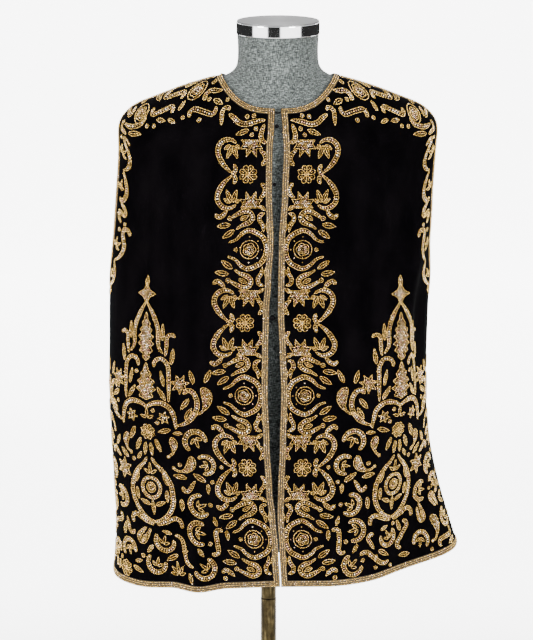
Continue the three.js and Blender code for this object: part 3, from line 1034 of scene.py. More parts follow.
class BeadTray:
    """Gathers beads and turns them into piece meshes."""

    MOST_TRIANGLES = 150000

    def __init__(self, name: str, seed: int) -> None:
        """Starts an empty tray.

        Args:
            name: Name of the beadwork.
            seed: Seed of its chance choices.
        """
        self.name = name
        self.chance = np.random.default_rng(seed)
        self.batches: List[Tuple[BeadKind, np.ndarray, np.ndarray, np.ndarray, np.ndarray]] = []

    def add(
        self, kind: BeadKind, centres: Points, normals: Points, along: Points, widths: np.ndarray
    ) -> None:
        """Adds beads."""
        if len(centres):
            self.batches.append((kind, centres, normals, along, widths))

    def _batch_mesh(self, batch: Tuple) -> Tuple[Points, np.ndarray, np.ndarray]:
        """Makes the mesh arrays of one batch.

        Args:
            batch: A batch as added.

        Returns:
            Points, triangles and material numbers.
        """
        kind, centres, normals, along, widths = batch
        shape, faces = bead_shape(kind.fine)
        count = len(centres)
        normals = unit(normals)
        side = unit(np.cross(normals, along))
        forward = np.cross(side, normals)
        tilt = self.chance.normal(0.0, 0.09, (count, 2))
        up = unit(normals + side * tilt[:, :1] + forward * tilt[:, 1:])
        scale = self.chance.uniform(0.9, 1.08, count)
        half = kind.height / 2 * scale
        seat = centres + normals * (half * 0.32)[:, None]
        points = (
            seat[:, None]
            + forward[:, None] * (shape[None, :, 0] * (kind.length / 2 * scale)[:, None])[..., None]
            + side[:, None] * (shape[None, :, 1] * (widths / 2 * scale)[:, None])[..., None]
            + up[:, None] * (shape[None, :, 2] * half[:, None])[..., None]
        )
        tones = self.chance.choice(len(TONES), count, p=np.array(kind.tones) / sum(kind.tones))
        triangles = faces[None] + (np.arange(count) * len(shape))[:, None, None]
        slots = np.repeat(tones, len(faces))
        return points.reshape(-1, 3), triangles.reshape(-1, 3), slots

    def build(self, materials: Sequence[bpy.types.Material]) -> List[bpy.types.Object]:
        """Makes the pieces.

        Args:
            materials: One material for each tone.

        Returns:
            The bead pieces, each begun anew before a batch would take it past MOST_TRIANGLES.
        """
        made = []
        pending: List[Tuple[Points, np.ndarray, np.ndarray]] = []
        total = 0
        for batch in self.batches + [None]:
            parts = self._batch_mesh(batch) if batch else None
            full = parts is not None and total + len(parts[1]) > self.MOST_TRIANGLES
            if pending and (parts is None or full):
                made.append(self._piece(pending, len(made) + 1, materials))
                pending, total = [], 0
            if parts is not None:
                pending.append(parts)
                total += len(parts[1])
        return made

    def _piece(
        self,
        parts: Sequence[Tuple[Points, np.ndarray, np.ndarray]],
        number: int,
        materials: Sequence[bpy.types.Material],
    ) -> bpy.types.Object:
        """Joins batches into one piece.

        Args:
            parts: Mesh arrays of the batches.
            number: The piece's number.
            materials: One material for each tone.

        Returns:
            The piece.
        """
        offsets = np.cumsum([0] + [len(p[0]) for p in parts[:-1]])
        points = np.vstack([p[0] for p in parts])
        faces = np.vstack([p[1] + offset for p, offset in zip(parts, offsets)])
        slots = np.concatenate([p[2] for p in parts])
        name = self.name if number == 1 else f"{self.name}_{number}"
        made = mesh_object(name, points, [faces], [True], slots)
        for material in materials:
            made.data.materials.append(material)
        report(made)
        return made


class BeadPen:
    """Strings beads along lines drawn in a chart's flat coordinates."""

    HEM_CLEAR = 9.5
    SIDE_CLEAR = 3.0
    CELL = 1.9

    def __init__(self, tray: BeadTray, chart: Chart) -> None:
        """Starts with nothing drawn.

        Args:
            tray: Where the beads go.
            chart: The flat coordinates to draw in.
        """
        self.tray = tray
        self.chart = chart
        self.origin = np.zeros(2)
        self.matrix = np.eye(2)
        self.lines: List[Tuple[np.ndarray, BeadKind, np.ndarray]] = []
        self.taken: Set[Tuple[int, int]] = set()

    def place(
        self, origin: Tuple[float, float], turn: float = 0.0, scale: float = 1.0, flip: int = 1
    ) -> None:
        """Sets where the next motifs are drawn.

        Args:
            origin: Flat coordinates of the motif's own origin.
            turn: Turn in degrees.
            scale: Size, where one is the charted size in mm.
            flip: -1 mirrors the motif's second axis before it is turned.
        """
        self.origin = np.asarray(origin, float)
        a = math.radians(turn)
        rotation = np.array([[math.cos(a), -math.sin(a)], [math.sin(a), math.cos(a)]])
        self.matrix = rotation @ np.diag([scale, scale * flip])

    def string(self, points: np.ndarray, kind: BeadKind, widths: Optional[np.ndarray] = None) -> None:
        """Draws one string of beads.

        Args:
            points: The line, in the motif's coordinates.
            kind: What beads.
            widths: Width of the beads along the line, in mm.
        """
        placed = self.origin + np.asarray(points, float) @ self.matrix.T
        if widths is None:
            widths = np.full(len(placed), kind.width)
        self.lines.append((placed, kind, widths))

    def draw_kept(
        self, motif: "Motif", low: float = -1e9, high: float = 1e9, axis: int = 1, apart: bool = False
    ) -> None:
        """Draws a motif, and takes it back if it nears the panel's rim, leaves a range or meets another.

        Args:
            motif: The motif.
            low: Lowest flat coordinate it may reach.
            high: Highest flat coordinate it may reach.
            axis: Which flat coordinate the range is for.
            apart: Whether it has to stay clear of what is drawn already.
        """
        before = len(self.lines)
        motif.draw(self)
        if len(self.lines) == before:
            return
        drawn = np.vstack([line[0] for line in self.lines[before:]])
        cells = np.unique(np.round(drawn / self.CELL).astype(int), axis=0)
        meets = apart and not self.taken.isdisjoint(map(tuple, cells))
        if meets or drawn[:, axis].min() < low or drawn[:, axis].max() > high or self._nears_rim(drawn):
            del self.lines[before:]
            return
        for step in np.ndindex(3, 3):
            self.taken.update(map(tuple, cells + np.array(step) - 1))

    def _nears_rim(self, drawn: np.ndarray) -> bool:
        """Tests whether drawn points come too near the panel's rim.

        Args:
            drawn: Flat coordinates in rows.

        Returns:
            Whether any of them does.
        """
        lattice = self.chart.lattice
        rows, columns = self.chart.places(drawn)
        widths = np.interp(rows, np.arange(len(lattice.width)), lattice.width) / lattice.last_column
        from_side = np.minimum(columns, lattice.last_column - columns) * widths
        from_end = np.minimum(
            lattice.sample(lattice.up, rows, columns), lattice.sample(lattice.down, rows, columns)
        )
        return bool(from_side.min() < self.SIDE_CLEAR or from_end.min() < self.HEM_CLEAR)

    def finish(self) -> None:
        """Carries all drawn lines onto the cloth and strings their beads."""
        if not self.lines:
            return
        lattice = self.chart.lattice
        everything = np.vstack([line[0] for line in self.lines])
        rows, columns = self.chart.places(everything)
        points = lattice.sample(lattice.points, rows, columns)
        normals = lattice.sample(lattice.normals, rows, columns)
        gathered: Dict[BeadKind, List[Tuple[np.ndarray, ...]]] = {}
        start = 0
        for line, kind, widths in self.lines:
            part = slice(start, start + len(line))
            start += len(line)
            beads = self.strung(points[part], normals[part], kind, widths)
            if beads is not None:
                gathered.setdefault(kind, []).append(beads)
        for kind, strings in gathered.items():
            self.tray.add(kind, *(np.concatenate(column) for column in zip(*strings)))
        self.lines = []

    @staticmethod
    def strung(points: Points, normals: Points, kind: BeadKind, widths: np.ndarray) -> Tuple:
        """Spaces beads along a line on the cloth.

        Args:
            points: The line's points.
            normals: The cloth's normals there.
            kind: What beads.
            widths: Width of the beads along the line.

        Returns:
            Centres, normals, directions and widths; a line of almost no length gets one bead.
        """
        steps = np.linalg.norm(np.diff(points, axis=0), axis=1)
        run = np.concatenate([[0.0], np.cumsum(steps)])
        if run[-1] < 0.2:
            return (points[:1], normals[:1], np.array([[1.0, 0.0, 0.02]]), widths[:1])
        count = max(1, int(round(run[-1] / kind.spacing)))
        at = (np.arange(count) + 0.5) * run[-1] / count

        def read(values: np.ndarray) -> np.ndarray:
            """Reads values at the beads' places."""
            return np.stack([np.interp(at, run, values[:, k]) for k in range(values.shape[1])], axis=1)

        ahead = np.minimum(at + 0.4, run[-1])
        behind = np.maximum(at - 0.4, 0.0)
        along = np.stack(
            [np.interp(ahead, run, points[:, k]) - np.interp(behind, run, points[:, k]) for k in range(3)],
            axis=1,
        )
        return read(points), read(normals), along, np.interp(at, run, widths)


# ---------- motifs ----------


class Motif(ABC):
    """A form of the embroidery, in its own flat coordinates, in mm."""

    @abstractmethod
    def draw(self, pen: BeadPen) -> None:
        """Draws the motif."""


@dataclass(frozen=True)
class Cord(Motif):
    """A scroll: two rows of small beads with larger ones laid across between them."""

    points: Flat
    width: float = 8.6
    start: float = 0.62
    end: float = 0.62

    def draw(self, pen: BeadPen) -> None:
        """Draws the scroll.

        Args:
            pen: The pen to draw with.
        """
        spine = curve(self.points)
        ahead = np.gradient(spine, axis=0)
        across = unit(np.stack([-ahead[:, 1], ahead[:, 0]], axis=1))
        share = np.linspace(0.0, 1.0, len(spine))
        taper = self.start + (1.0 - self.start) * smooth(share / 0.3)
        taper *= self.end + (1.0 - self.end) * smooth((1.0 - share) / 0.3)
        run = share * np.linalg.norm(np.diff(spine, axis=0), axis=1).sum()
        near = np.minimum(run, run[-1] - run)
        half = self.width / 2 * taper
        capped = half * np.sqrt(np.clip(1.0 - (1.0 - np.clip(near / half, 0.0, 1.0)) ** 2, 0.0, 1.0))
        rim = capped - OUTLINE.width / 2
        left = spine + across * rim[:, None]
        right = spine - across * rim[:, None]
        pen.string(np.vstack([left, right[::-1], left[:1]]), OUTLINE)
        inner = rim - OUTLINE.width / 2 - 0.1
        inside = inner > 0.5
        if inside.sum() > 3:
            pen.string(spine[inside], FILL, 2 * inner[inside])


@dataclass(frozen=True)
class Leaf(Motif):
    """A pointed leaf, outlined, with a row down its middle."""

    base: Tuple[float, float]
    tip: Tuple[float, float]
    width: float = 5.6
    bend: float = 0.0
    filled: bool = False

    def draw(self, pen: BeadPen) -> None:
        """Draws the leaf.

        Args:
            pen: The pen to draw with.
        """
        base = np.asarray(self.base, float)
        tip = np.asarray(self.tip, float)
        axis = tip - base
        across = np.array([-axis[1], axis[0]]) / max(np.linalg.norm(axis), 1e-6)
        share = np.linspace(0.0, 1.0, 26)
        spine = base + axis * share[:, None] + across * (self.bend * np.sin(np.pi * share))[:, None]
        half = (self.width / 2 - 0.5) * np.sin(np.pi * share**0.85) ** 0.8
        left = spine + across * half[:, None]
        right = spine - across * half[:, None]
        pen.string(np.vstack([left, right[::-1]]), OUTLINE)
        vein = spine[4:20] if not self.filled else spine[3:23]
        if self.filled or self.width > 5.0:
            pen.string(vein, FILL if self.filled else OUTLINE)


@dataclass(frozen=True)
class Ball(Motif):
    """A bead or a small ring with one bead in it."""

    centre: Tuple[float, float]
    radius: float = 3.0

    def draw(self, pen: BeadPen) -> None:
        """Draws the ball.

        Args:
            pen: The pen to draw with.
        """
        centre = np.asarray(self.centre, float)
        pen.string(np.repeat(centre[None], 2, axis=0), CRYSTALS)
        if self.radius > 2.0:
            turn = np.linspace(0.0, 2 * np.pi, 20)
            ring = centre + (self.radius - 0.7) * np.stack([np.cos(turn), np.sin(turn)], axis=1)
            pen.string(ring, OUTLINE)


def holds(rim: np.ndarray, spots: np.ndarray) -> np.ndarray:
    """Tests which spots a closed line goes round.

    Args:
        rim: The closed line.
        spots: The spots in rows.

    Returns:
        Whether each is inside.
    """
    a = rim[None] - spots[:, None]
    b = np.roll(a, -1, axis=1)
    crosses = (a[..., 1] > 0) != (b[..., 1] > 0)
    run = np.where(crosses, b[..., 1] - a[..., 1], 1.0)
    x = a[..., 0] - a[..., 1] * (b[..., 0] - a[..., 0]) / run
    return (crosses & (x > 0)).sum(axis=1) % 2 == 1


def fill_with_crystals(pen: BeadPen, rim: np.ndarray) -> None:
    """Outlines a closed form and fills it with crystals in staggered rows.

    Args:
        pen: The pen to draw with.
        rim: The closed line.
    """
    pen.string(np.vstack([rim, rim[:1]]), OUTLINE)
    pitch = CRYSTALS.spacing
    low, high = rim.min(axis=0), rim.max(axis=0)
    rows = np.arange(low[1] + 0.6, high[1], pitch * 0.87)
    for number, y in enumerate(rows):
        across = np.arange(low[0] + 0.6 + pitch / 2 * (number % 2), high[0], pitch)
        spots = np.column_stack([across, np.full(len(across), y)])
        far = np.linalg.norm(rim[None] - spots[:, None], axis=2).min(axis=1) > 1.45
        for spot in spots[holds(rim, spots) & far]:
            pen.string(np.repeat(spot[None], 2, axis=0), CRYSTALS)


@dataclass(frozen=True)
class Fan(Motif):
    """A fan of pointed leaves grown together, full of crystals."""

    centre: Tuple[float, float]
    radius: float
    leaves: int
    heading: float
    spread: float

    def draw(self, pen: BeadPen) -> None:
        """Draws the fan.

        Args:
            pen: The pen to draw with.
        """
        count = 2 * self.leaves - 1
        turn = np.radians(self.heading + np.linspace(-0.5, 0.5, count) * self.spread)
        reach = np.where(np.arange(count) % 2 == 0, 1.0 - 0.3 * np.abs(np.linspace(-1, 1, count)), 0.5)
        tips = np.stack([np.cos(turn), np.sin(turn)], axis=1) * (reach * self.radius)[:, None]
        corners = np.asarray(self.centre, float) + tips
        fill_with_crystals(pen, evenly(np.vstack([corners, corners[:1]]), 0.7))


@dataclass(frozen=True)
class Flower(Motif):
    """A round flower of outlined petals about a bead."""

    centre: Tuple[float, float]
    radius: float = 12.5
    petals: int = 8
    turn: float = 0.0

    def draw(self, pen: BeadPen) -> None:
        """Draws the flower.

        Args:
            pen: The pen to draw with.
        """
        centre = np.asarray(self.centre, float)
        width = 2 * self.radius * 0.88 * math.tan(math.pi / self.petals)
        for k in range(self.petals):
            angle = math.radians(self.turn) + 2 * math.pi * k / self.petals
            out = np.array([math.cos(angle), math.sin(angle)])
            base = centre + out * self.radius * 0.2
            tip = centre + out * self.radius
            self._petal(pen, base, tip, width)
        Ball(self.centre, 2.4).draw(pen)

    @staticmethod
    def _petal(pen: BeadPen, base: np.ndarray, tip: np.ndarray, width: float) -> None:
        """Draws one petal.

        Args:
            pen: The pen to draw with.
            base: Its inner end.
            tip: Its outer end.
            width: Its width.
        """
        axis = tip - base
        across = np.array([-axis[1], axis[0]]) / np.linalg.norm(axis)
        turn = np.linspace(-np.pi, np.pi, 26)
        share = 0.5 + 0.5 * np.cos(turn)
        half = (width / 2 - 0.5) * np.sin(turn) * (0.55 + 0.45 * share)
        pen.string(base + axis * share[:, None] + across * half[:, None], OUTLINE)
        pen.string(np.stack([base + axis * 0.35, base + axis * 0.72]), OUTLINE)


@dataclass(frozen=True)
class Rosette(Motif):
    """A ring round a scalloped ring with a cluster of crystals at its heart."""

    centre: Tuple[float, float]
    radius: float = 14.0
    stretch: float = 1.0
    lobes: int = 5

    def draw(self, pen: BeadPen) -> None:
        """Draws the rosette.

        Args:
            pen: The pen to draw with.
        """
        centre = np.asarray(self.centre, float)
        turn = np.linspace(0.0, 2 * np.pi, 90)
        around = np.stack([np.cos(turn), np.sin(turn) * self.stretch], axis=1)
        pen.string(centre + around * self.radius, OUTLINE)
        scallop = self.radius * (0.58 + 0.14 * np.abs(np.sin(turn * self.lobes / 2)))
        pen.string(centre + around * scallop[:, None], OUTLINE)
        for ring in (self.radius * 0.44, self.radius * 0.27):
            if ring > 2.1:
                pen.string(centre + around * ring, CRYSTALS)
        pen.string(np.repeat(centre[None], 2, axis=0), CRYSTALS)


@dataclass(frozen=True)
class Star(Motif):
    """A star of pointed leaves about a heart of crystals."""

    centre: Tuple[float, float]
    radius: float = 12.5
    points: int = 8
    turn: float = 12.0

    def draw(self, pen: BeadPen) -> None:
        """Draws the star.

        Args:
            pen: The pen to draw with.
        """
        centre = np.asarray(self.centre, float)
        turn = np.linspace(0.0, 2 * np.pi, 2 * self.points, endpoint=False) + math.radians(self.turn)
        reach = np.where(np.arange(2 * self.points) % 2 == 0, self.radius, self.radius * 0.5)
        corners = centre + np.stack([np.cos(turn), np.sin(turn)], axis=1) * reach[:, None]
        fill_with_crystals(pen, evenly(np.vstack([corners, corners[:1]]), 0.7))


@dataclass(frozen=True)
class Sprig(Motif):
    """Leaves fanned out from one point."""

    base: Tuple[float, float]
    heading: float
    length: float = 11.0
    leaves: int = 4
    spread: float = 130.0

    def draw(self, pen: BeadPen) -> None:
        """Draws the sprig.

        Args:
            pen: The pen to draw with.
        """
        for k in range(self.leaves):
            share = k / (self.leaves - 1) - 0.5
            angle = math.radians(self.heading + share * self.spread)
            length = self.length * (1.0 - 0.45 * abs(share) * 1.3)
            tip = (self.base[0] + length * math.cos(angle), self.base[1] + length * math.sin(angle))
            start = (
                self.base[0] + 1.8 * math.cos(angle),
                self.base[1] + 1.8 * math.sin(angle),
            )
            Leaf(start, tip, 4.6).draw(pen)


@dataclass(frozen=True)
class Paisley(Motif):
    """A bent drop: an outlined body full of crystals, running out into a curled tail."""

    points: Flat
    width: float = 12.0

    def draw(self, pen: BeadPen) -> None:
        """Draws the drop.

        Args:
            pen: The pen to draw with.
        """
        spine = curve(self.points)
        ahead = np.gradient(spine, axis=0)
        across = unit(np.stack([-ahead[:, 1], ahead[:, 0]], axis=1))
        share = np.linspace(0.0, 1.0, len(spine))
        swell = np.sqrt(np.clip(1.0 - ((share - 0.28) / 0.29) ** 2, 0.0, 1.0)) * (share < 0.28)
        fall = (1.0 - smooth((share - 0.28) / 0.62)) * (share >= 0.28)
        half = np.maximum(self.width / 2 * (swell + fall), 1.9 * (share > 0.2)) - 0.8
        half = np.clip(half, 0.15, None)
        sides = [spine + across * half[:, None], (spine - across * half[:, None])[::-1]]
        fill_with_crystals(pen, np.vstack(sides))
        Ball(tuple(spine[-1]), 2.6).draw(pen)


@dataclass(frozen=True)
class Drop(Motif):
    """An upright drop full of crystals, with toothed sides."""

    low: float
    high: float
    width: float
    teeth: int
    belly: float

    def draw(self, pen: BeadPen) -> None:
        """Draws the drop.

        Args:
            pen: The pen to draw with.
        """
        share = np.linspace(0.0, 1.0, 2 * self.teeth + 1)
        inside = np.where(np.arange(len(share)) % 2 == 0, 0.56, 1.0)
        half = self.width / 2 * np.sin(np.pi * share**self.belly) * inside
        height = self.low + (self.high - self.low) * (share - 0.02 * inside)
        right = np.column_stack([half, height])
        fill_with_crystals(pen, evenly(np.vstack([right, right[::-1] * (-1.0, 1.0)]), 0.7))


@dataclass(frozen=True)
class Group(Motif):
    """Forms that are drawn, kept or taken back together."""

    forms: Tuple[Motif, ...]

    def draw(self, pen: BeadPen) -> None:
        """Draws the forms."""
        for form in self.forms:
            form.draw(pen)


def arcs(
    start: Tuple[float, float], heading: float, *bends: Tuple[float, float]
) -> List[Tuple[float, float]]:
    """Walks along arcs, one after the other.

    Args:
        start: Where the walk starts.
        heading: Its first heading in degrees, to the left of the first axis.
        bends: Length and turn in degrees of each arc.

    Returns:
        Points along the walk.
    """
    x, y = start
    angle = math.radians(heading)
    points = [start]
    for length, turn in bends:
        steps = max(2, round(length / 4))
        for _ in range(steps):
            angle += math.radians(turn) / steps / 2
            x += length / steps * math.cos(angle)
            y += length / steps * math.sin(angle)
            angle += math.radians(turn) / steps / 2
            points.append((x, y))
    return points


def mirrored(points: Flat) -> List[Tuple[float, float]]:
    """Mirrors charted points about the first axis."""
    return [(x, -y) for x, y in points]


HALF_PERIOD = 104.3  # from a rosette to the next flower, in mm

ROSETTE_ARC = [
    (-24, 0),
    (-23, -8),
    (-18, -18),
    (-9, -24),
    (1, -27),
    (11, -22),
    (19, -14),
    (29, -10),
]

ROSETTE_STATION: Tuple[Motif, ...] = (
    Rosette((0, 0), 12.8),
    Cord(mirrored(ROSETTE_ARC)[:0:-1] + ROSETTE_ARC, 7.6, 0.5, 0.5),
    Ball((19, 0), 3.0),
    *(Ball((x, y), 1.9) for x, y in ((-17, 0), (-12, -12), (-12, 12), (0, -18), (0, 18))),
)

FLOWER_STATION: Tuple[Motif, ...] = (
    Flower((0, 0), 12.6, 8, 22.5),
    Cord([(20, -13), (18, -6), (21, 0), (18, 6), (20, 13)], 6.4, 0.9, 0.9),
)

# The forms between a rosette and the flower below it; they are mirrored about both.
BORDER_HALF: Tuple[Motif, ...] = (
    Leaf((22, -27), (38, -16), 8),
    Leaf((27, -35), (46, -32), 8),
    Ball((27, -43.5), 3.6),
    Cord(
        [(24, -45), (15, -50), (5, -54), (-3, -51), (-5, -44), (0, -38), (10, -34), (18, -29)], 7.4, 0.7, 0.5
    ),
    Leaf((12, -42), (1, -47), 6.4),
    Cord([(-20, -25), (-19, -34), (-15, -41), (-16, -48), (-22, -51)], 6.4, 0.5, 0.8),
    Leaf((-26, -24), (-26, -41), 5.4),
    Cord([(48, -49), (43, -45), (37, -48), (31, -54)], 6.8, 0.9, 0.5),
    Cord(
        [(18, -62), (26, -58), (36, -59), (43, -66), (44, -76), (38, -88), (31, -96), (24, -102)],
        7.8,
        0.55,
        0.5,
    ),
    Leaf((24, -66), (31, -83), 7),
    Leaf((22, -66), (16, -83), 7),
    Leaf((26, -65), (35, -71), 5.6),
    Leaf((18, -65), (13, -70), 5.2),
    Fan((-4, -61), 22, 6, -90, 200),
    Leaf((-16, -61), (-24, -55), 5.6),
    Cord([(-16, -72), (-22, -77), (-24, -85), (-19, -92)], 6.6, 0.6, 0.9),
)

# Scrolls down an armhole: places are distances along its edge and in from it.
ARMHOLE_PERIOD = 138.0
ARMHOLE_INSET = 8.0
ARMHOLE_UNIT: Tuple[Motif, ...] = (
    Cord([(8, 41), (1, 37), (2, 29), (9, 26), (18, 30), (28, 34), (39, 33), (49, 27), (56, 16)], 7.4, 0.8, 0.5),
    Sprig((34, 12), 150, 17, 4, 150),
    Ball((6, 16), 3.4),
    Cord([(58, 16), (66, 21), (78, 26), (91, 25), (101, 16), (98, 9)], 7.4, 0.5, 0.8),
    Sprig((86, 9), 165, 15, 3, 110),
    Cord([(104, 15), (110, 24), (117, 27), (121, 22)], 6.6, 0.6, 0.9),
    Leaf((116, 9), (122, 27), 6.6),
    Leaf((121, 7), (133, 18), 6.6),
    Ball((132, 28), 2.8),
)


def draw_border(
    pen: BeadPen, start: float, stop: float, inset: float, scale: float, downward: bool, first: float
) -> None:
    """Repeats the border's unit along one axis of a chart.

    Args:
        pen: The pen to draw with.
        start: Where the border starts on the chart's running axis.
        stop: Where it stops.
        inset: How far in from the edge the rosettes' centres lie.
        scale: Size of the unit.
        downward: Whether the running axis is the chart's second one, read downwards.
        first: Running coordinate of the first rosette or flower, counted from a rosette.
    """
    reach = HALF_PERIOD * scale
    low, high = min(start, stop), max(start, stop)
    count = int((high - low) / reach) + 3
    for k in range(-count, count + 1):
        along = first - k * reach if downward else first + k * reach
        is_rosette = k % 2 == 0
        station = ROSETTE_STATION if is_rosette else FLOWER_STATION
        origin = (inset, along) if downward else (along, inset)
        turn = 0.0 if downward else 90.0
        pen.place(origin, turn, scale)
        for motif in station:
            pen.draw_kept(motif, low, high, 1 if downward else 0)
        if not is_rosette:
            continue
        for flip in (1, -1):
            pen.place(origin, turn, scale, flip)
            for motif in BORDER_HALF:
                pen.draw_kept(motif, low, high, 1 if downward else 0)


# ---------- the jacket's pieces ----------


@dataclass(frozen=True)
class PanelSizes:
    """How finely a panel is laid, and its wall in mm."""

    front_columns: int = 54
    back_columns: int = 92
    wall: float = 2.0


class VelvetPanel:
    """A panel of velvet and lining: a thin closed shell on its solid's form."""

    def __init__(self, name: str, lattice: PanelLattice, sizes: PanelSizes) -> None:
        """Keeps the panel's grid.

        Args:
            name: The panel's name, which is its CAD node's name.
            lattice: Its grid.
            sizes: Its sizes.
        """
        self.name = name
        self.lattice = lattice
        self.sizes = sizes
        self.made: Optional[bpy.types.Object] = None

    def build(self) -> bpy.types.Object:
        """Makes the shell.

        Returns:
            The panel.
        """
        outer = self.lattice.points.reshape(-1, 3)
        inner = outer - self.lattice.normals.reshape(-1, 3) * self.sizes.wall
        rows, columns = self.lattice.points.shape[:2]
        index = np.arange(rows * columns).reshape(rows, columns)
        corners = [index[:-1, :-1], index[1:, :-1], index[1:, 1:], index[:-1, 1:]]
        front = np.stack([c.ravel() for c in corners], axis=1)
        rim = np.concatenate([index[:, 0], index[-1, 1:], index[-2::-1, -1], index[0, -2:0:-1]])
        after = np.roll(rim, -1)
        under = rows * columns
        edge = np.stack([rim, rim + under, after + under, after], axis=1)
        back = front[:, ::-1] + under
        if not self.lattice.face_out:
            front, back, edge = front[:, ::-1], back[:, ::-1], edge[:, ::-1]
        points = np.vstack([outer, inner])
        self.made = mesh_object(f"velvet_{self.name}", points, [front, back, edge], [True, True, False])
        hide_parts(self.name)
        report(self.made)
        return self.made

    def dress(self, velvet: bpy.types.Material) -> None:
        """Gives the panel its velvet."""
        self.made.data.materials.append(velvet)


@dataclass(frozen=True)
class BraidSizes:
    """The bead braid: its width, where its strings lie and its tape's two heights, in mm."""

    width: float = 9.4
    strings: Tuple[float, float, float] = (1.75, 4.75, 7.75)
    tape_low: float = 0.05
    tape_high: float = 0.75
    seat: float = 0.7


class Leg:
    """One stretch of a braid: a run along a chart at a distance in from the edge."""

    def __init__(self, chart: Chart, start: float, stop: float) -> None:
        """Keeps the stretch.

        Args:
            chart: The chart to run along.
            start: Where it starts.
            stop: Where it stops.
        """
        self.chart = chart
        self.start = start
        self.stop = stop

    def places(self, inset: float, mitre: Tuple[float, float]) -> Tuple[np.ndarray, np.ndarray]:
        """Runs along the chart.

        Args:
            inset: Distance in from the edge.
            mitre: How much the inset moves the start and the stop.

        Returns:
            Fractional row and column numbers.
        """
        count = max(8, int(abs(self.stop - self.start) / 2.5))
        run = np.linspace(self.start + mitre[0] * inset, self.stop + mitre[1] * inset, count)
        return self.chart.places(np.column_stack([run, np.full(count, inset)]))


class EdgeLeg(Leg):
    """The stretch down a front's free edge, between the neckline and the hem."""

    def places(self, inset: float, mitre: Tuple[float, float]) -> Tuple[np.ndarray, np.ndarray]:
        """Runs down the edge.

        Args:
            inset: Distance in from the edge.
            mitre: Not used, since both ends meet other stretches.

        Returns:
            Fractional row and column numbers.
        """
        lattice = self.chart.lattice
        corner = np.array([[inset, inset]])
        top, _ = RimChart(lattice, True).places(corner)
        bottom, _ = RimChart(lattice, False).places(corner)
        rows = np.linspace(top[0], bottom[0], 300)
        return rows, lattice.column_at(rows, np.full(300, inset))


class Braid:
    """A braid of three bead strings on a tape, along one or more stretches of edge."""

    def __init__(self, name: str, legs: Sequence[Tuple[Leg, Tuple[float, float]]], sizes: BraidSizes) -> None:
        """Keeps the braid's course.

        Args:
            name: The braid's name, which is its CAD node's name.
            legs: Its stretches, each with its mitres.
            sizes: Its sizes.
        """
        self.name = name
        self.legs = legs
        self.sizes = sizes
        self.lattice = legs[0][0].chart.lattice
        self.beads: List[bpy.types.Object] = []
        self.tape: Optional[bpy.types.Object] = None

    def _rail(self, inset: float) -> Tuple[Points, Points]:
        """Finds the braid's course at one distance from the edge.

        Args:
            inset: The distance, in mm.

        Returns:
            Points on the cloth and its normals.
        """
        courses = [leg.places(inset, mitre) for leg, mitre in self.legs]
        rows = np.concatenate([c[0] for c in courses])
        columns = np.concatenate([c[1] for c in courses])
        sample = self.lattice.sample
        return (
            sample(self.lattice.points, rows, columns),
            unit(sample(self.lattice.normals, rows, columns)),
        )

    def build(self, materials: Sequence[bpy.types.Material], seed: int) -> List[bpy.types.Object]:
        """Makes the tape and strings the beads.

        Args:
            materials: One bead material for each tone.
            seed: Seed of the beads' chance choices.

        Returns:
            The braid's pieces.
        """
        edges = [self._rail(0.15), self._rail(self.sizes.width)]
        count = len(edges[0][0])
        low, high = self.sizes.tape_low, self.sizes.tape_high
        rails = []
        for points, normals in (edges[0], edges[1]):
            rails.append((points + normals * low, points + normals * high))
        ring = np.stack([rails[0][0], rails[0][1], rails[1][1], rails[1][0]], axis=1)
        k = np.arange(count - 1)[:, None]
        faces = []
        for side in range(4):
            after = (side + 1) % 4
            faces.append(np.hstack([4 * k + side, 4 * k + after, 4 * (k + 1) + after, 4 * (k + 1) + side]))
        last = 4 * (count - 1)
        ends = np.array([[3, 2, 1, 0], [last, last + 1, last + 2, last + 3]])
        body = np.vstack(faces)
        points = ring.reshape(-1, 3)
        if self._turns_in(points, body):
            body, ends = body[:, ::-1], ends[:, ::-1]
        self.tape = mesh_object(f"tape_{self.name}", points, [body, ends], [False, False])
        tray = BeadTray(f"beads_{self.name}", seed)
        for inset in self.sizes.strings:
            points, normals = self._rail(inset)
            strung = BeadPen.strung(points, normals, BRAID, np.full(count, BRAID.width))
            tray.add(BRAID, strung[0] + strung[1] * (self.sizes.seat - 0.35), *strung[1:])
        self.beads = tray.build(materials)
        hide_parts(self.name)
        report(self.tape)
        return [self.tape, *self.beads]

    @staticmethod
    def _turns_in(points: Points, faces: np.ndarray) -> bool:
        """Tests whether a closed strip's faces look inwards.

        Args:
            points: The strip's points.
            faces: Its faces.

        Returns:
            Whether its signed volume is below zero.
        """
        a, b, c, d = (points[faces[:, n]] for n in range(4))
        volume = np.einsum("ij,ij->i", a, np.cross(b, c)) + np.einsum("ij,ij->i", a, np.cross(c, d))
        return bool(volume.sum() < 0)

    def dress(self, tape: bpy.types.Material) -> None:
        """Gives the braid its finishes.

        Args:
            tape: The tape's material.
        """
        self.tape.data.materials.append(tape)
        for piece in (self.tape, *self.beads):
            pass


@dataclass(frozen=True)
class ButtonSizes:
    """Rings and sides of a ball button."""

    rings: int = 20
    sides: int = 32


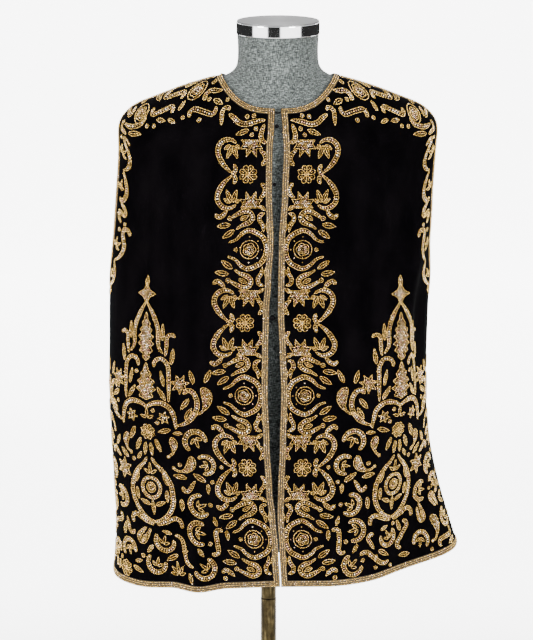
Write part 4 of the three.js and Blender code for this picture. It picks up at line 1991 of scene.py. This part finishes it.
class Closures:
    """The ball buttons at the right front's edge and the hook at the neck."""

    def __init__(self, sizes: ButtonSizes) -> None:
        """Keeps the sizes."""
        self.sizes = sizes
        self.made: List[bpy.types.Object] = []

    def build(self) -> List[bpy.types.Object]:
        """Makes the buttons and the hook on their solids' forms.

        Returns:
            The pieces.
        """
        for number in (1, 2, 3):
            low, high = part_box(f"button_{number}")
            centre = (low + high) / 2 / MM
            radius = (high.x - low.x) / 2 / MM
            turn = np.linspace(-np.pi / 2, np.pi / 2, self.sizes.rings + 1)
            outline = [(radius * math.cos(a), radius * math.sin(a)) for a in turn]
            outline[0], outline[-1] = (0.0, -radius), (0.0, radius)
            ball = turned_mesh(
                f"ball_{number}", outline, self.sizes.sides, (centre.x - JACKET_X, centre.y, centre.z)
            )
            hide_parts(f"button_{number}")
            self.made.append(ball)
        self.made.append(self._hook())
        for piece in self.made:
            report(piece)
        return self.made

    @staticmethod
    def _hook() -> bpy.types.Object:
        """Bends the neck hook from wire.

        Returns:
            The hook.
        """
        low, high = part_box("neck_hook")
        centre = (low + high) / 2 / MM
        half_x = (high.x - low.x) / 2 / MM
        half_z = (high.z - low.z) / 2 / MM
        wire = (high.y - low.y) / 2 / MM
        turn = np.linspace(0.0, 2 * np.pi, 48, endpoint=False)
        x = signed_power(np.cos(turn), np.array(0.6)) * (half_x - wire)
        z = signed_power(np.sin(turn), np.array(0.8)) * (half_z - wire)
        path = np.stack([x, np.zeros(48), z], axis=1)
        ahead = unit(np.roll(path, -1, axis=0) - np.roll(path, 1, axis=0))
        side = unit(np.cross(ahead, [0.0, 1.0, 0.0]))
        sides = 8
        around = np.linspace(0.0, 2 * np.pi, sides, endpoint=False)
        ring = side[:, None] * np.cos(around)[None, :, None]
        ring[..., 1] += np.sin(around)
        points = (path[:, None] + ring * wire).reshape(-1, 3)
        points += np.array([centre.x - JACKET_X, centre.y, centre.z])
        k = np.arange(48)[:, None]
        j = np.arange(sides)[None]
        here, after = k * sides, ((k + 1) % 48) * sides
        turned = (j + 1) % sides
        faces = np.stack([here + j, here + turned, after + turned, after + j], axis=-1).reshape(-1, 4)
        hook = mesh_object("hook_wire", points, [faces], [True])
        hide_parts("neck_hook")
        return hook

    def dress(self, glass: bpy.types.Material, wire: bpy.types.Material) -> None:
        """Gives the pieces their finishes."""
        for piece in self.made:
            piece.data.materials.append(wire if piece.name == "hook_wire" else glass)


# ---------- the dress form and its stand ----------

# Rings of the form: height and half width at the sides, height and depth at the front, height and
# depth at the back, how square it is, and how level its front runs.
FORM_NECK = np.array(
    [
        [1535, 58.5, 1531.2, 59, 1538.8, 58.5, 2.0, 2.0],
        [1512, 57.5, 1503, 58, 1516, 57, 2.0, 2.0],
        [1492, 59, 1474, 59.5, 1494, 56.5, 2.0, 2.4],
        [1481.5, 66, 1452, 62, 1476, 56.5, 2.0, 3.0],
    ]
)
FORM_INSETS = (8.0, 5.5, 6.5, 7.5, 9.0)
FORM_BODY = np.array(
    [
        [1434, 198, 1352, 99, 1386, 108, 2.1, 2.0],
        [1421, 207, 1330, 104, 1358, 115, 2.15, 2.0],
        [1403, 210.5, 1308, 108, 1330, 120, 2.2, 2.0],
        [1376, 209, 1285, 111, 1300, 123.5, 2.25, 2.0],
        [1335, 203, 1252, 113, 1258, 126, 2.3, 2.0],
        [1270, 192, 1208, 113, 1210, 124, 2.3, 2.0],
        [1200, 181, 1158, 110, 1160, 118, 2.3, 2.0],
        [1120, 171, 1100, 104, 1102, 109, 2.25, 2.0],
        [1050, 163, 1045, 98, 1045, 103, 2.2, 2.0],
        [980, 164, 980, 97, 980, 106, 2.2, 2.0],
        [905, 171, 905, 100, 905, 114, 2.2, 2.0],
        [845, 175, 845, 102, 845, 118, 2.2, 2.0],
        [805, 173, 805, 100, 805, 115, 2.2, 2.0],
        [790, 165, 790, 93, 790, 108, 2.2, 2.0],
        [786, 150, 786, 82, 786, 95, 2.2, 2.0],
    ]
)


@dataclass(frozen=True)
class FormSizes:
    """How finely the form is laid, and its distance inside the cloth, in mm."""

    sides: int = 120
    per_ring: int = 4
    inside: float = 2.55


class DressForm:
    """The limbless form: torso and neck in one smooth body."""

    def __init__(self, surface: JacketSurface, sizes: FormSizes) -> None:
        """Keeps what the form is laid from.

        Args:
            surface: The jacket's outer face, which the form's shoulders follow.
            sizes: Its sizes.
        """
        self.surface = surface
        self.sizes = sizes
        self.made: Optional[bpy.types.Object] = None

    def _rings(self) -> np.ndarray:
        """Gathers the form's rings.

        Returns:
            The rings in order, from the neck's cut down.
        """
        rows = []
        for number, inset in enumerate(FORM_INSETS):
            ring = RINGS[number]
            level = np.array([float(number)])
            ridge = self.surface.points(level, np.array([np.pi / 2]))[0]
            ridge = ridge - self.surface.normal(float(number), np.pi / 2) * self.sizes.inside
            rows.append(
                [
                    ridge[2],
                    ridge[0],
                    ring[3] - 1,
                    ring[4] - inset,
                    ring[5] - 2,
                    ring[6] - inset,
                    ring[8],
                    ring[9],
                ]
            )
        return np.vstack([FORM_NECK, rows, FORM_BODY])

    def build(self) -> bpy.types.Object:
        """Makes the form.

        Returns:
            The form's body.
        """
        rings = self._rings()
        at_rings = np.linspace(0.0, len(rings) - 1, (len(rings) - 1) * self.sizes.per_ring + 1)
        fine = table_rows(rings, at_rings)
        angle = np.linspace(0.0, 2 * np.pi, self.sizes.sides, endpoint=False)[None]
        side_z, side, front_z, front, back_z, back, square, level = (fine[:, k, None] for k in range(8))
        across = signed_power(np.sin(angle), 2.0 / square)
        along = signed_power(np.cos(angle), 2.0 / square)
        is_front = along >= 0
        depth_share = 1.0 - np.abs(across) ** level
        depth_share[0] = np.abs(along[0])
        z = side_z * (1 - depth_share) + np.where(is_front, front_z, back_z) * depth_share
        points = np.stack([side * across, -along * np.where(is_front, front, back), z], axis=-1)
        rows, sides = points.shape[:2]
        ends = np.stack([points[0].mean(axis=0), points[-1].mean(axis=0)])
        vertices = np.vstack([points.reshape(-1, 3), ends])
        i = (np.arange(rows - 1) * sides)[:, None]
        k = np.arange(sides)[None]
        after = (k + 1) % sides
        wall = np.stack([i + k, i + sides + k, i + sides + after, i + after], axis=-1).reshape(-1, 4)
        k, after = k[0], after[0]
        first, last = rows * sides, (rows - 1) * sides
        top = np.stack([np.full(sides, first), k, after], axis=1)
        bottom = np.stack([np.full(sides, first + 1), last + after, last + k], axis=1)
        self.made = mesh_object("form_cover", vertices, [wall, top, bottom], [True, False, False])
        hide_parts("form_body")
        report(self.made)
        return self.made

    def dress(self, cover: bpy.types.Material) -> None:
        """Gives the form its cover."""
        self.made.data.materials.append(cover)


@dataclass(frozen=True)
class CapSizes:
    """The neck cap, in mm, and its lean."""

    radius: float = 60.0
    band: float = 16.7
    gap: float = 0.3
    plate: float = 1.6
    plate_inset: float = 1.1
    pivot_z: float = 1535.4
    tilt: float = math.radians(3.7)


class NeckCap:
    """The chromed band and the brushed plate that close the form's neck."""

    def __init__(self, sizes: CapSizes) -> None:
        """Keeps the sizes.

        Args:
            sizes: The cap's sizes.
        """
        self.sizes = sizes
        self.band: Optional[bpy.types.Object] = None
        self.plate: Optional[bpy.types.Object] = None

    def build(self) -> List[bpy.types.Object]:
        """Makes the band and the plate.

        Returns:
            The two pieces.
        """
        s = self.sizes
        place = (0.0, 0.0, s.pivot_z)
        rounding = 0.7
        band = [
            (0.0, 0.0),
            (s.radius - rounding, 0.0),
            (s.radius - 0.2, 0.2),
            (s.radius, rounding),
            (s.radius, 2 * rounding),
            (s.radius, s.band - 2 * rounding),
            (s.radius, s.band - rounding),
            (s.radius - 0.2, s.band - 0.2),
            (s.radius - rounding, s.band),
            (0.0, s.band),
        ]
        self.band = turned_mesh("neck_band", band, 160, place, s.tilt)
        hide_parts("cap_band")
        low, high, edge = s.band + s.gap, s.band + s.gap + s.plate, s.radius - s.plate_inset
        plate = [(0.0, low), (edge, low), (edge, high - 0.6), (edge - 0.6, high), (0.0, high)]
        self.plate = turned_mesh("neck_plate", plate, 160, place, s.tilt)
        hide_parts("cap_plate")
        report(self.band)
        report(self.plate)
        return [self.band, self.plate]

    def dress(self, chrome: bpy.types.Material, brushed: bpy.types.Material) -> None:
        """Gives the cap its finishes.

        Args:
            chrome: The band's material.
            brushed: The plate's material.
        """
        self.band.data.materials.append(chrome)
        self.plate.data.materials.append(brushed)


@dataclass(frozen=True)
class StandSizes:
    """The stand's tubes and foot, in mm."""

    tube_radius: float = 12.0
    joint_z: float = 689.0
    top_z: float = 786.0
    gap: float = 0.3
    foot_radius: float = 170.0
    socket_top: float = 62.0


class Stand:
    """Two tubes, one in the other, on a round foot."""

    def __init__(self, sizes: StandSizes) -> None:
        """Keeps the sizes."""
        self.sizes = sizes
        self.made: List[bpy.types.Object] = []

    def build(self) -> List[bpy.types.Object]:
        """Makes the tubes and the foot.

        Returns:
            The three pieces.
        """
        s = self.sizes
        place = (-JACKET_X, 0.0, 0.0)
        thin = s.tube_radius - s.gap
        upper = self._tube(s.joint_z + s.gap, s.top_z - s.gap, thin)
        self.made.append(turned_mesh("tube_upper", upper, 72, place))
        wide = s.tube_radius
        lower = self._tube(s.socket_top + s.gap, s.joint_z, wide)
        self.made.append(turned_mesh("tube_lower", lower, 72, place))
        foot = [
            (0.0, 0.0),
            (s.foot_radius - 2, 0.0),
            (s.foot_radius - 0.6, 0.6),
            (s.foot_radius, 2),
            (s.foot_radius, 9),
            (s.foot_radius - 1.2, 11.4),
            (s.foot_radius - 4, 13),
            (s.foot_radius * 0.72, 17),
            (s.foot_radius * 0.5, 19.8),
            (s.foot_radius * 0.34, 23),
            (wide + 15, 28),
            (wide + 8, 32),
            (wide + 6, 36),
            (wide + 6, s.socket_top - 2),
            (wide + 5.4, s.socket_top - 0.6),
            (wide + 4, s.socket_top),
            (0.0, s.socket_top),
        ]
        self.made.append(turned_mesh("round_foot", foot, 160, place))
        for piece, node in zip(self.made, ("pole_upper", "pole_lower", "foot")):
            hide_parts(node)
            report(piece)
        return self.made

    @staticmethod
    def _tube(low: float, high: float, radius: float) -> List[Tuple[float, float]]:
        """Draws a tube's outline with soft ends.

        Args:
            low: Its lower end.
            high: Its upper end.
            radius: Its radius.

        Returns:
            The outline.
        """
        return [
            (0.0, low),
            (radius - 0.8, low),
            (radius - 0.2, low + 0.2),
            (radius, low + 0.8),
            (radius, low + 1.6),
            (radius, high - 1.6),
            (radius, high - 0.8),
            (radius - 0.2, high - 0.2),
            (radius - 0.8, high),
            (0.0, high),
        ]

    def dress(self, brass: bpy.types.Material) -> None:
        """Gives the stand its finish.

        Args:
            brass: The material.
        """
        for piece in self.made:
            piece.data.materials.append(brass)


# ---------- the embroidery ----------


class Embroidery:
    """The beadwork of one panel."""

    def __init__(self, panel: VelvetPanel, seed: int) -> None:
        """Starts the panel's beadwork.

        Args:
            panel: The panel it lies on.
            seed: Seed of the beads' chance choices.
        """
        self.panel = panel
        self.tray = BeadTray(f"embroidery_{panel.name}", seed)
        self.made: List[bpy.types.Object] = []

    def build(self, materials: Sequence[bpy.types.Material]) -> List[bpy.types.Object]:
        """Draws the motifs and strings their beads.

        Args:
            materials: One bead material for each tone.

        Returns:
            The bead pieces.
        """
        if self.panel.name == "back":
            self._draw_back()
        else:
            self._draw_front()
        self.made = self.tray.build(materials)
        return self.made

    def _draw_front(self) -> None:
        """Draws a front: the edge border, the side borders and the field at the hem."""
        lattice = self.panel.lattice
        pen = BeadPen(self.tray, FieldChart(lattice))
        draw_border(pen, BORDER_TOP_Z, 740.0, BORDER_INSET, 1.0, True, BORDER_FIRST_Z)
        pen.place((SPIRE_INSET, SPIRE_Z))
        for motif in SPIRE_MIDDLE + SPIRE_SIDE:
            pen.draw_kept(motif)
        pen.place((SPIRE_INSET, SPIRE_Z), 180.0, 1.0, -1)
        for motif in SPIRE_SIDE:
            pen.draw_kept(motif)
        pen.place((0.0, 0.0))
        for motif in HIGH_FIELD:
            pen.draw_kept(motif)
        HEM_FILLING.draw(pen)
        SHOULDER_FILLING.draw(pen)
        pen.finish()
        self._draw_armhole(SideChart(lattice, False), 188.0)

    def _draw_armhole(self, chart: SideChart, first: float) -> None:
        """Draws scrolls down an armhole, as far as its foot.

        Args:
            chart: The flat coordinates of the panel's outer edge.
            first: Distance down the edge at which the first unit starts.
        """
        pen = BeadPen(self.tray, chart)
        underarm = chart.run[UNDERARM_RING * ROWS_PER_RING] + 6
        for start in np.arange(first, underarm, ARMHOLE_PERIOD):
            pen.place((start, ARMHOLE_INSET))
            for motif in ARMHOLE_UNIT:
                pen.draw_kept(motif, 0.0, underarm, 0)
        pen.finish()

    def _draw_back(self) -> None:
        """Draws the back: borders along the armholes and the hem, and a plain middle."""
        lattice = self.panel.lattice
        for at_first in (True, False):
            self._draw_armhole(SideChart(lattice, at_first), 22.0)
        pen = BeadPen(self.tray, RimChart(lattice, False))
        width = lattice.width[-1]
        draw_border(pen, 4.0, width - 4.0, 36.0, 0.8, False, width / 2)
        pen.finish()

    def dress(self) -> None:
        """Does nothing more: the bead pieces took their materials when they were built."""
        for piece in self.made:
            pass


BORDER_INSET = 34.0
BORDER_FIRST_Z = 1242.5
BORDER_TOP_Z = 1396.0
SPIRE_INSET = 178.0
SPIRE_Z = 1022.0

# The tall spire: forms on its middle line, then forms drawn on both sides of it. Places are
# distances from its middle line and heights above its origin, in mm.
SPIRE_MIDDLE: Tuple[Motif, ...] = (
    Leaf((0, 163), (0, 180), 6),
    Star((0, 154), 14, 4, 90),
    Drop(58, 128, 25, 7, 0.75),
    Drop(1, 55, 31, 5, 0.6),
    Sprig((0, -26), 90, 15, 3, 140),
    Flower((0, -46), 11, 8, 22.5),
    Sprig((0, -108), 90, 17, 3, 110),
    Cord(arcs((0, -113), 0, (92, -360)), 5.6, 1.0, 1.0),
    Rosette((0, -127.6), 7.4),
    Leaf((0, -147), (0, -166), 6.4),
)
SPIRE_SIDE: Tuple[Motif, ...] = (
    Cord(arcs((0, 143), -56, (30, -10), (30, -30), (20, 55)), 6.6, 0.5, 0.6),
    Cord(arcs((35, 0), 86, (46, 8), (14, 40), (25, 150)), 6.4, 0.6, 0.9),
    Cord(arcs((30, 66), 78, (24, 14), (17, -150)), 6.0, 0.6, 0.9),
    Leaf((26, 88), (26, 112), 6),
    Leaf((39, 54), (42, 77), 6.6),
    Leaf((30, 2), (18, 20), 6.6),
    Leaf((28, 22), (23, 44), 5.6),
    Cord(arcs((0, -10), 40, (22, -40), (28, -75), (20, -12)), 7.4, 0.7, 0.6),
    Star((26, -24), 9, 6),
    Star((52, 26), 14, 7),
    Leaf((12, -56), (20, -74), 6.6),
    Leaf((4, -62), (6, -80), 6),
    Paisley([(36, -52), (40, -62), (38, -74), (31, -80)], 12),
    Cord(arcs((4, -84), -62, (16, 22), (30, -30), (46, -60), (28, -40)), 7.4),
    Leaf((26, -122), (20, -102), 6.2),
    Leaf((25, -130), (24, -147), 6),
    Leaf((5, -153), (20, -147), 6.2),
    Cord(arcs((3, -181), 14, (27, 14), (22, -150)), 7.0, 0.8, 0.9),
    Paisley([(84, 22), (91, 10), (89, -4), (81, -14), (72, -16)], 16),
    Cord(arcs((46, -34), 10, (40, 60), (26, 60), (16, 120)), 7.6, 0.5, 0.9),
    Leaf((58, -24), (68, -8), 7.2),
    Leaf((72, 28), (66, 46), 7),
    Leaf((88, 30), (96, 48), 7.4),
)

# Small forms for the ground between the large ones, each about its own middle.
PAISLEY_FORM = Group((Paisley([(0, 16), (7, 6), (6, -7), (-2, -16), (-11, -17)], 15),))
C_FORM = Group((Cord(arcs((9, 13), 145, (58, 235)), 7.6, 0.8, 0.8), Sprig((-5, 0), 0, 15, 3, 100)))
S_FORM = Group((Cord(arcs((-10, 16), 60, (14, -150), (26, -6), (14, 150)), 7.4, 0.8, 0.8),))
WAVE_FORM = Group(
    (
        Cord(arcs((-28, -6), 80, (18, -90), (24, 10), (18, 70)), 7.6, 0.8, 0.7),
        Cord(arcs((-2, 8), -90, (10, 20)), 6.0, 0.7, 0.9),
    )
)
HOOK_FORM = Group((Cord(arcs((0, -13), 90, (16, 12), (17, -165)), 6.8, 0.6, 0.9),))
HAIRPIN_FORM = Group((Cord(arcs((-14, -5), 20, (22, 0), (18, 190), (18, 10)), 7.0), Leaf((-2, 2), (9, 6), 6)))
PAIR_FORM = Group((Leaf((1, -9), (8, 9), 7.2), Leaf((-1, -9), (-10, 6), 6.6)))
SPRIG_FORM = Group((Sprig((0, -8), 90, 18, 5, 150),))
LEAF_FORM = Group((Leaf((0, -9.5), (0, 9.5), 7.2),))
SMALL_LEAF_FORM = Group((Leaf((0, -7), (0, 7), 6),))
FLOWER_FORM = Group((Flower((0, 0), 12.5, 7),))
STAR_FORM = Group((Star((0, 0), 15, 6),))
BALL_FORM = Group((Ball((0, 0), 3.2),))


@dataclass(frozen=True)
class Filling:
    """Ground that is filled by chance with small forms, each clear of all others."""

    floor: Flat
    ceiling: Flat
    forms: Tuple[Tuple[Group, int], ...]
    seed: int

    def draw(self, pen: BeadPen) -> None:
        """Tries each form at chance places, as often as its count says.

        Args:
            pen: The pen to draw with.
        """
        chance = np.random.default_rng(self.seed)
        floor, ceiling = np.asarray(self.floor, float), np.asarray(self.ceiling, float)
        for form, tries in self.forms:
            for _ in range(tries):
                inset = chance.uniform(floor[0, 0], floor[-1, 0])
                low = float(np.interp(inset, *floor.T))
                high = float(np.interp(inset, *ceiling.T))
                place = (inset, chance.uniform(low, high))
                turn, scale = chance.uniform(0.0, 360.0), chance.uniform(0.9, 1.08)
                pen.place(place, turn, scale, chance.choice((-1, 1)))
                pen.draw_kept(form, low, high, apart=True)


HEM_FORMS = (
    (C_FORM, 110),
    (WAVE_FORM, 130),
    (PAISLEY_FORM, 120),
    (FLOWER_FORM, 16),
    (STAR_FORM, 24),
    (S_FORM, 360),
    (HAIRPIN_FORM, 360),
    (HOOK_FORM, 600),
    (SPRIG_FORM, 200),
    (PAIR_FORM, 480),
    (LEAF_FORM, 720),
    (SMALL_LEAF_FORM, 500),
    (BALL_FORM, 200),
)
SHOULDER_FORMS = (
    (S_FORM, 200),
    (HAIRPIN_FORM, 160),
    (HOOK_FORM, 400),
    (PAIR_FORM, 200),
    (LEAF_FORM, 300),
    (SMALL_LEAF_FORM, 300),
    (BALL_FORM, 200),
)
HEM_FILLING = Filling(
    [(66, 750), (344, 750)], [(66, 1040), (110, 1066), (262, 1066), (300, 960), (344, 880)], HEM_FORMS, 31
)
SHOULDER_FILLING = Filling(
    [(12, 1382), (62, 1404), (84, 1414), (150, 1414), (256, 1390)],
    [(12, 1470), (256, 1480)],
    SHOULDER_FORMS,
    12,
)

# Forms at the neck's corner and along the shoulder: distance from the free edge, and height.
HIGH_FIELD: Tuple[Motif, ...] = (
    Cord(arcs((68, 1426), 198, (14, 24), (22, -62), (22, 16)), 7.6, 0.8, 0.6),
    *(Ball((inset, height), 3.2) for inset, height in ((40, 1424), (30, 1425), (26, 1408))),
    Leaf((66, 1442), (50, 1432), 6.6),
    Leaf((236, 1398), (208, 1398), 7.4),
    Cord(arcs((14, 1414), -60, (16, -30), (14, -90)), 6.8, 0.6, 0.8),
    Rosette((140, 1456), 12.5, 0.95),
    Cord(arcs((162, 1438), 168, (46, -12), (18, -90)), 6.8, 0.5, 0.7),
    Rosette((218, 1424), 12.6),
    Cord(arcs((250, 1410), 200, (36, -40), (14, -60)), 7.2, 0.6, 0.8),
)


# ---------- the studio ----------


@dataclass(frozen=True)
class CameraSizes:
    """The camera's place in metres, its pitch in degrees and its lens in mm."""

    place: Tuple[float, float, float] = (-0.003, -3.1, 1.74)
    pitch: float = 11.38
    lens: float = 120.86


@dataclass(frozen=True)
class LightSizes:
    """One soft light: where it stands, what it faces, its size in metres and its power."""

    name: str
    place: Tuple[float, float, float]
    target: Tuple[float, float, float]
    size: Tuple[float, float]
    power: float


class Studio:
    """Pale floor and backdrop, soft lights and the camera."""

    LIGHTS = (
        LightSizes("key", (-2.45, -2.2, 2.0), (0.0, 0.0, 1.25), (1.0, 1.4), 160.0),
        LightSizes("fill", (2.05, -2.6, 1.9), (0.0, 0.0, 1.25), (1.0, 1.4), 120.0),
    )

    DARK, PALE = 0.0, 2.2
    CARDS = (
        (-164.0, -74.0, DARK),
        (-72.0, -30.0, PALE),
        (-28.0, 5.0, DARK),
        (7.0, 64.0, PALE),
        (66.0, 164.0, DARK),
    )
    CARD_DISTANCE = 4.2
    CARD_HEIGHT = 3.1

    def __init__(self, camera: CameraSizes) -> None:
        """Keeps the camera's sizes."""
        self.camera = camera

    def build(self) -> None:
        """Makes the floor, the lights, the world and the camera."""
        self._backdrop()
        self._cards()
        for light in self.LIGHTS:
            self._light(light)
        self._world()
        self._camera()

    @staticmethod
    def _backdrop() -> None:
        """Sweeps the floor up into a backdrop behind the part."""
        bend = np.linspace(0.0, np.pi / 2, 24)
        radius, wall = 2.5, 9.0
        profile = [(-9.0, 0.0)]
        profile += [(wall - radius + radius * math.sin(a), radius - radius * math.cos(a)) for a in bend]
        profile += [(wall, 8.0)]
        points = []
        for y, z in profile:
            points += [(-12.0 / MM, y / MM, z / MM), (12.0 / MM, y / MM, z / MM)]
        k = np.arange(len(profile) - 1)
        faces = np.stack([2 * k, 2 * k + 1, 2 * k + 3, 2 * k + 2], axis=1)
        sweep = mesh_object("sweep", np.array(points, float), [faces], [True])
        sweep.data.materials.append(StudioFinish("pale_paper", 0.93, (0.2, 5.0)).material())

    @staticmethod
    def _cards() -> None:
        """Stands dark and glowing cards out of view, which the chrome mirrors."""
        for number, (first, last, glow) in enumerate(Studio.CARDS):
            shade = 0.9 if glow else 0.012
            bearings = np.radians(np.linspace(first, last, 9))
            foot = np.column_stack([np.sin(bearings), -np.cos(bearings), np.zeros(9)]) * Studio.CARD_DISTANCE
            top = foot + np.array([0.0, 0.0, Studio.CARD_HEIGHT])
            k = np.arange(8)
            faces = np.stack([k, k + 1, k + 10, k + 9], axis=1)
            card = mesh_object(f"card_{number + 1}", np.vstack([foot, top]) / MM, [faces], [False])
            card.data.materials.append(StudioFinish(f"card_{number + 1}", shade, (glow, glow)).material())
            card.visible_camera = False

    @staticmethod
    def _light(sizes: LightSizes) -> None:
        """Adds one soft light.

        Args:
            sizes: The light.
        """
        data = bpy.data.lights.new(sizes.name, "AREA")
        data.shape = "RECTANGLE"
        data.size, data.size_y = sizes.size
        data.energy = sizes.power
        made = bpy.data.objects.new(sizes.name, data)
        made.location = sizes.place
        aim = np.array(sizes.target) - np.array(sizes.place)
        made.rotation_euler = (
            math.atan2(math.hypot(aim[0], aim[1]), -aim[2]),
            0.0,
            math.atan2(aim[1], aim[0]) - math.pi / 2,
        )
        bpy.context.scene.collection.objects.link(made)

    @staticmethod
    def _world() -> None:
        """Fills the studio with even pale light."""
        world = bpy.data.worlds.new("studio")
        world.use_nodes = True
        background = world.node_tree.nodes["Background"]
        background.inputs["Color"].default_value = (1.0, 1.0, 1.0, 1.0)
        background.inputs["Strength"].default_value = 1.8
        bpy.context.scene.world = world

    def _camera(self) -> None:
        """Sets the camera."""
        data = bpy.data.cameras.new("view")
        data.sensor_fit = "VERTICAL"
        data.sensor_height = 36.0
        data.lens = self.camera.lens
        data.clip_end = 100.0
        made = bpy.data.objects.new("view", data)
        made.location = self.camera.place
        made.rotation_euler = (math.radians(90.0 - self.camera.pitch), 0.0, 0.0)
        bpy.context.scene.collection.objects.link(made)
        bpy.context.scene.camera = made


# ---------- putting it together ----------


def front_braids(lattice: PanelLattice, side: str, sizes: BraidSizes) -> List[Braid]:
    """Lays out the braids of one front.

    Args:
        lattice: The front's grid.
        side: The front's name, left or right.
        sizes: The braid's sizes.

    Returns:
        The braid round its free edge, and the one down its shoulder and armhole.
    """
    top, hem = RimChart(lattice, True), RimChart(lattice, False)
    outer = SideChart(lattice, False)
    underarm = outer.run[UNDERARM_RING * ROWS_PER_RING]
    edge = [
        (Leg(top, lattice.width[0] - 0.2, 0.0), (0.0, 1.0)),
        (EdgeLeg(top, 0.0, 0.0), (0.0, 0.0)),
        (Leg(hem, 0.0, lattice.width[-1] - 0.2), (1.0, 0.0)),
    ]
    run = [(Leg(outer, 10.0, underarm), (0.0, 0.0))]
    return [
        Braid(f"edging_{side}_front", edge, sizes),
        Braid(f"edging_{side}_armhole_front", run, sizes),
    ]


def back_braids(lattice: PanelLattice, sizes: BraidSizes) -> List[Braid]:
    """Lays out the braids of the back.

    Args:
        lattice: The back's grid.
        sizes: The braid's sizes.

    Returns:
        The braids of the neckline, the hem and the armholes' back halves.
    """
    top, hem = RimChart(lattice, True), RimChart(lattice, False)
    braids = [
        Braid("edging_back_neck", [(Leg(top, 0.2, lattice.width[0] - 0.2), (0.0, 0.0))], sizes),
        Braid("edging_back_hem", [(Leg(hem, 0.2, lattice.width[-1] - 0.2), (0.0, 0.0))], sizes),
    ]
    for side, at_first in (("left", True), ("right", False)):
        outer = SideChart(lattice, at_first)
        leg = Leg(outer, outer.run[TIP_RING * ROWS_PER_RING], outer.run[UNDERARM_RING * ROWS_PER_RING])
        braids.append(Braid(f"edging_{side}_armhole_back", [(leg, (0.0, 0.0))], sizes))
    return braids


def cut_size(lattice: PanelLattice) -> Tuple[float, float]:
    """Measures a panel's cut."""
    return float(lattice.width.max()) * MM, float(lattice.down[-1].max()) * MM


def build_jacket(surface: JacketSurface) -> None:
    """Builds the jacket: velvet panels, braids and embroidery.

    Args:
        surface: The jacket's outer face.
    """
    sizes = PanelSizes()
    braid_sizes = BraidSizes()
    velvet = VELVET.material()
    tape = TAPE.material()
    beads = [tone.value.material() for tone in TONES]
    lattices = {
        "right_front": front_lattice(surface, Side.RIGHT, sizes.front_columns),
        "left_front": front_lattice(surface, Side.LEFT, sizes.front_columns),
        "back": back_lattice(surface, sizes.back_columns),
    }
    for number, (name, lattice) in enumerate(lattices.items()):
        panel = VelvetPanel(name, lattice, sizes)
        panel.build()
        panel.dress(velvet)
        if name == "back":
            braids = back_braids(lattice, braid_sizes)
        else:
            braids = front_braids(lattice, name.split("_")[0], braid_sizes)
        pieces: List[bpy.types.Object] = []
        for k, braid in enumerate(braids):
            pieces += braid.build(beads, SEED + 20 * number + k)
            braid.dress(tape)
        work = Embroidery(panel, SEED + 20 * number + 11)
        pieces += work.build(beads)
        work.dress()
        width, length = cut_size(lattice)
        share = lattice.area() / (width * length)
        LOG.info("%s: cut %.3f x %.3f m, %.2f of it used", name, width, length, share)
        lattice.area()


def main() -> None:
    """Builds every piece in order, then the studio."""
    logging.basicConfig(level=logging.INFO, format="%(name)s: %(message)s")
    surface = JacketSurface(ArmholeSizes())
    form = DressForm(surface, FormSizes())
    form.build()
    form.dress(HEATHER.material())
    build_jacket(surface)
    closures = Closures(ButtonSizes())
    closures.build()
    closures.dress(gloss("button_gloss", 0.12).material(), gloss("hook_lacquer", 0.3).material())
    cap = NeckCap(CapSizes())
    cap.build()
    cap.dress(CHROME.material(), BRUSHED.material())
    stand = Stand(StandSizes())
    stand.build()
    stand.dress(BRASS.material())
    Studio(CameraSizes()).build()


if __name__ == "__main__":
    main()
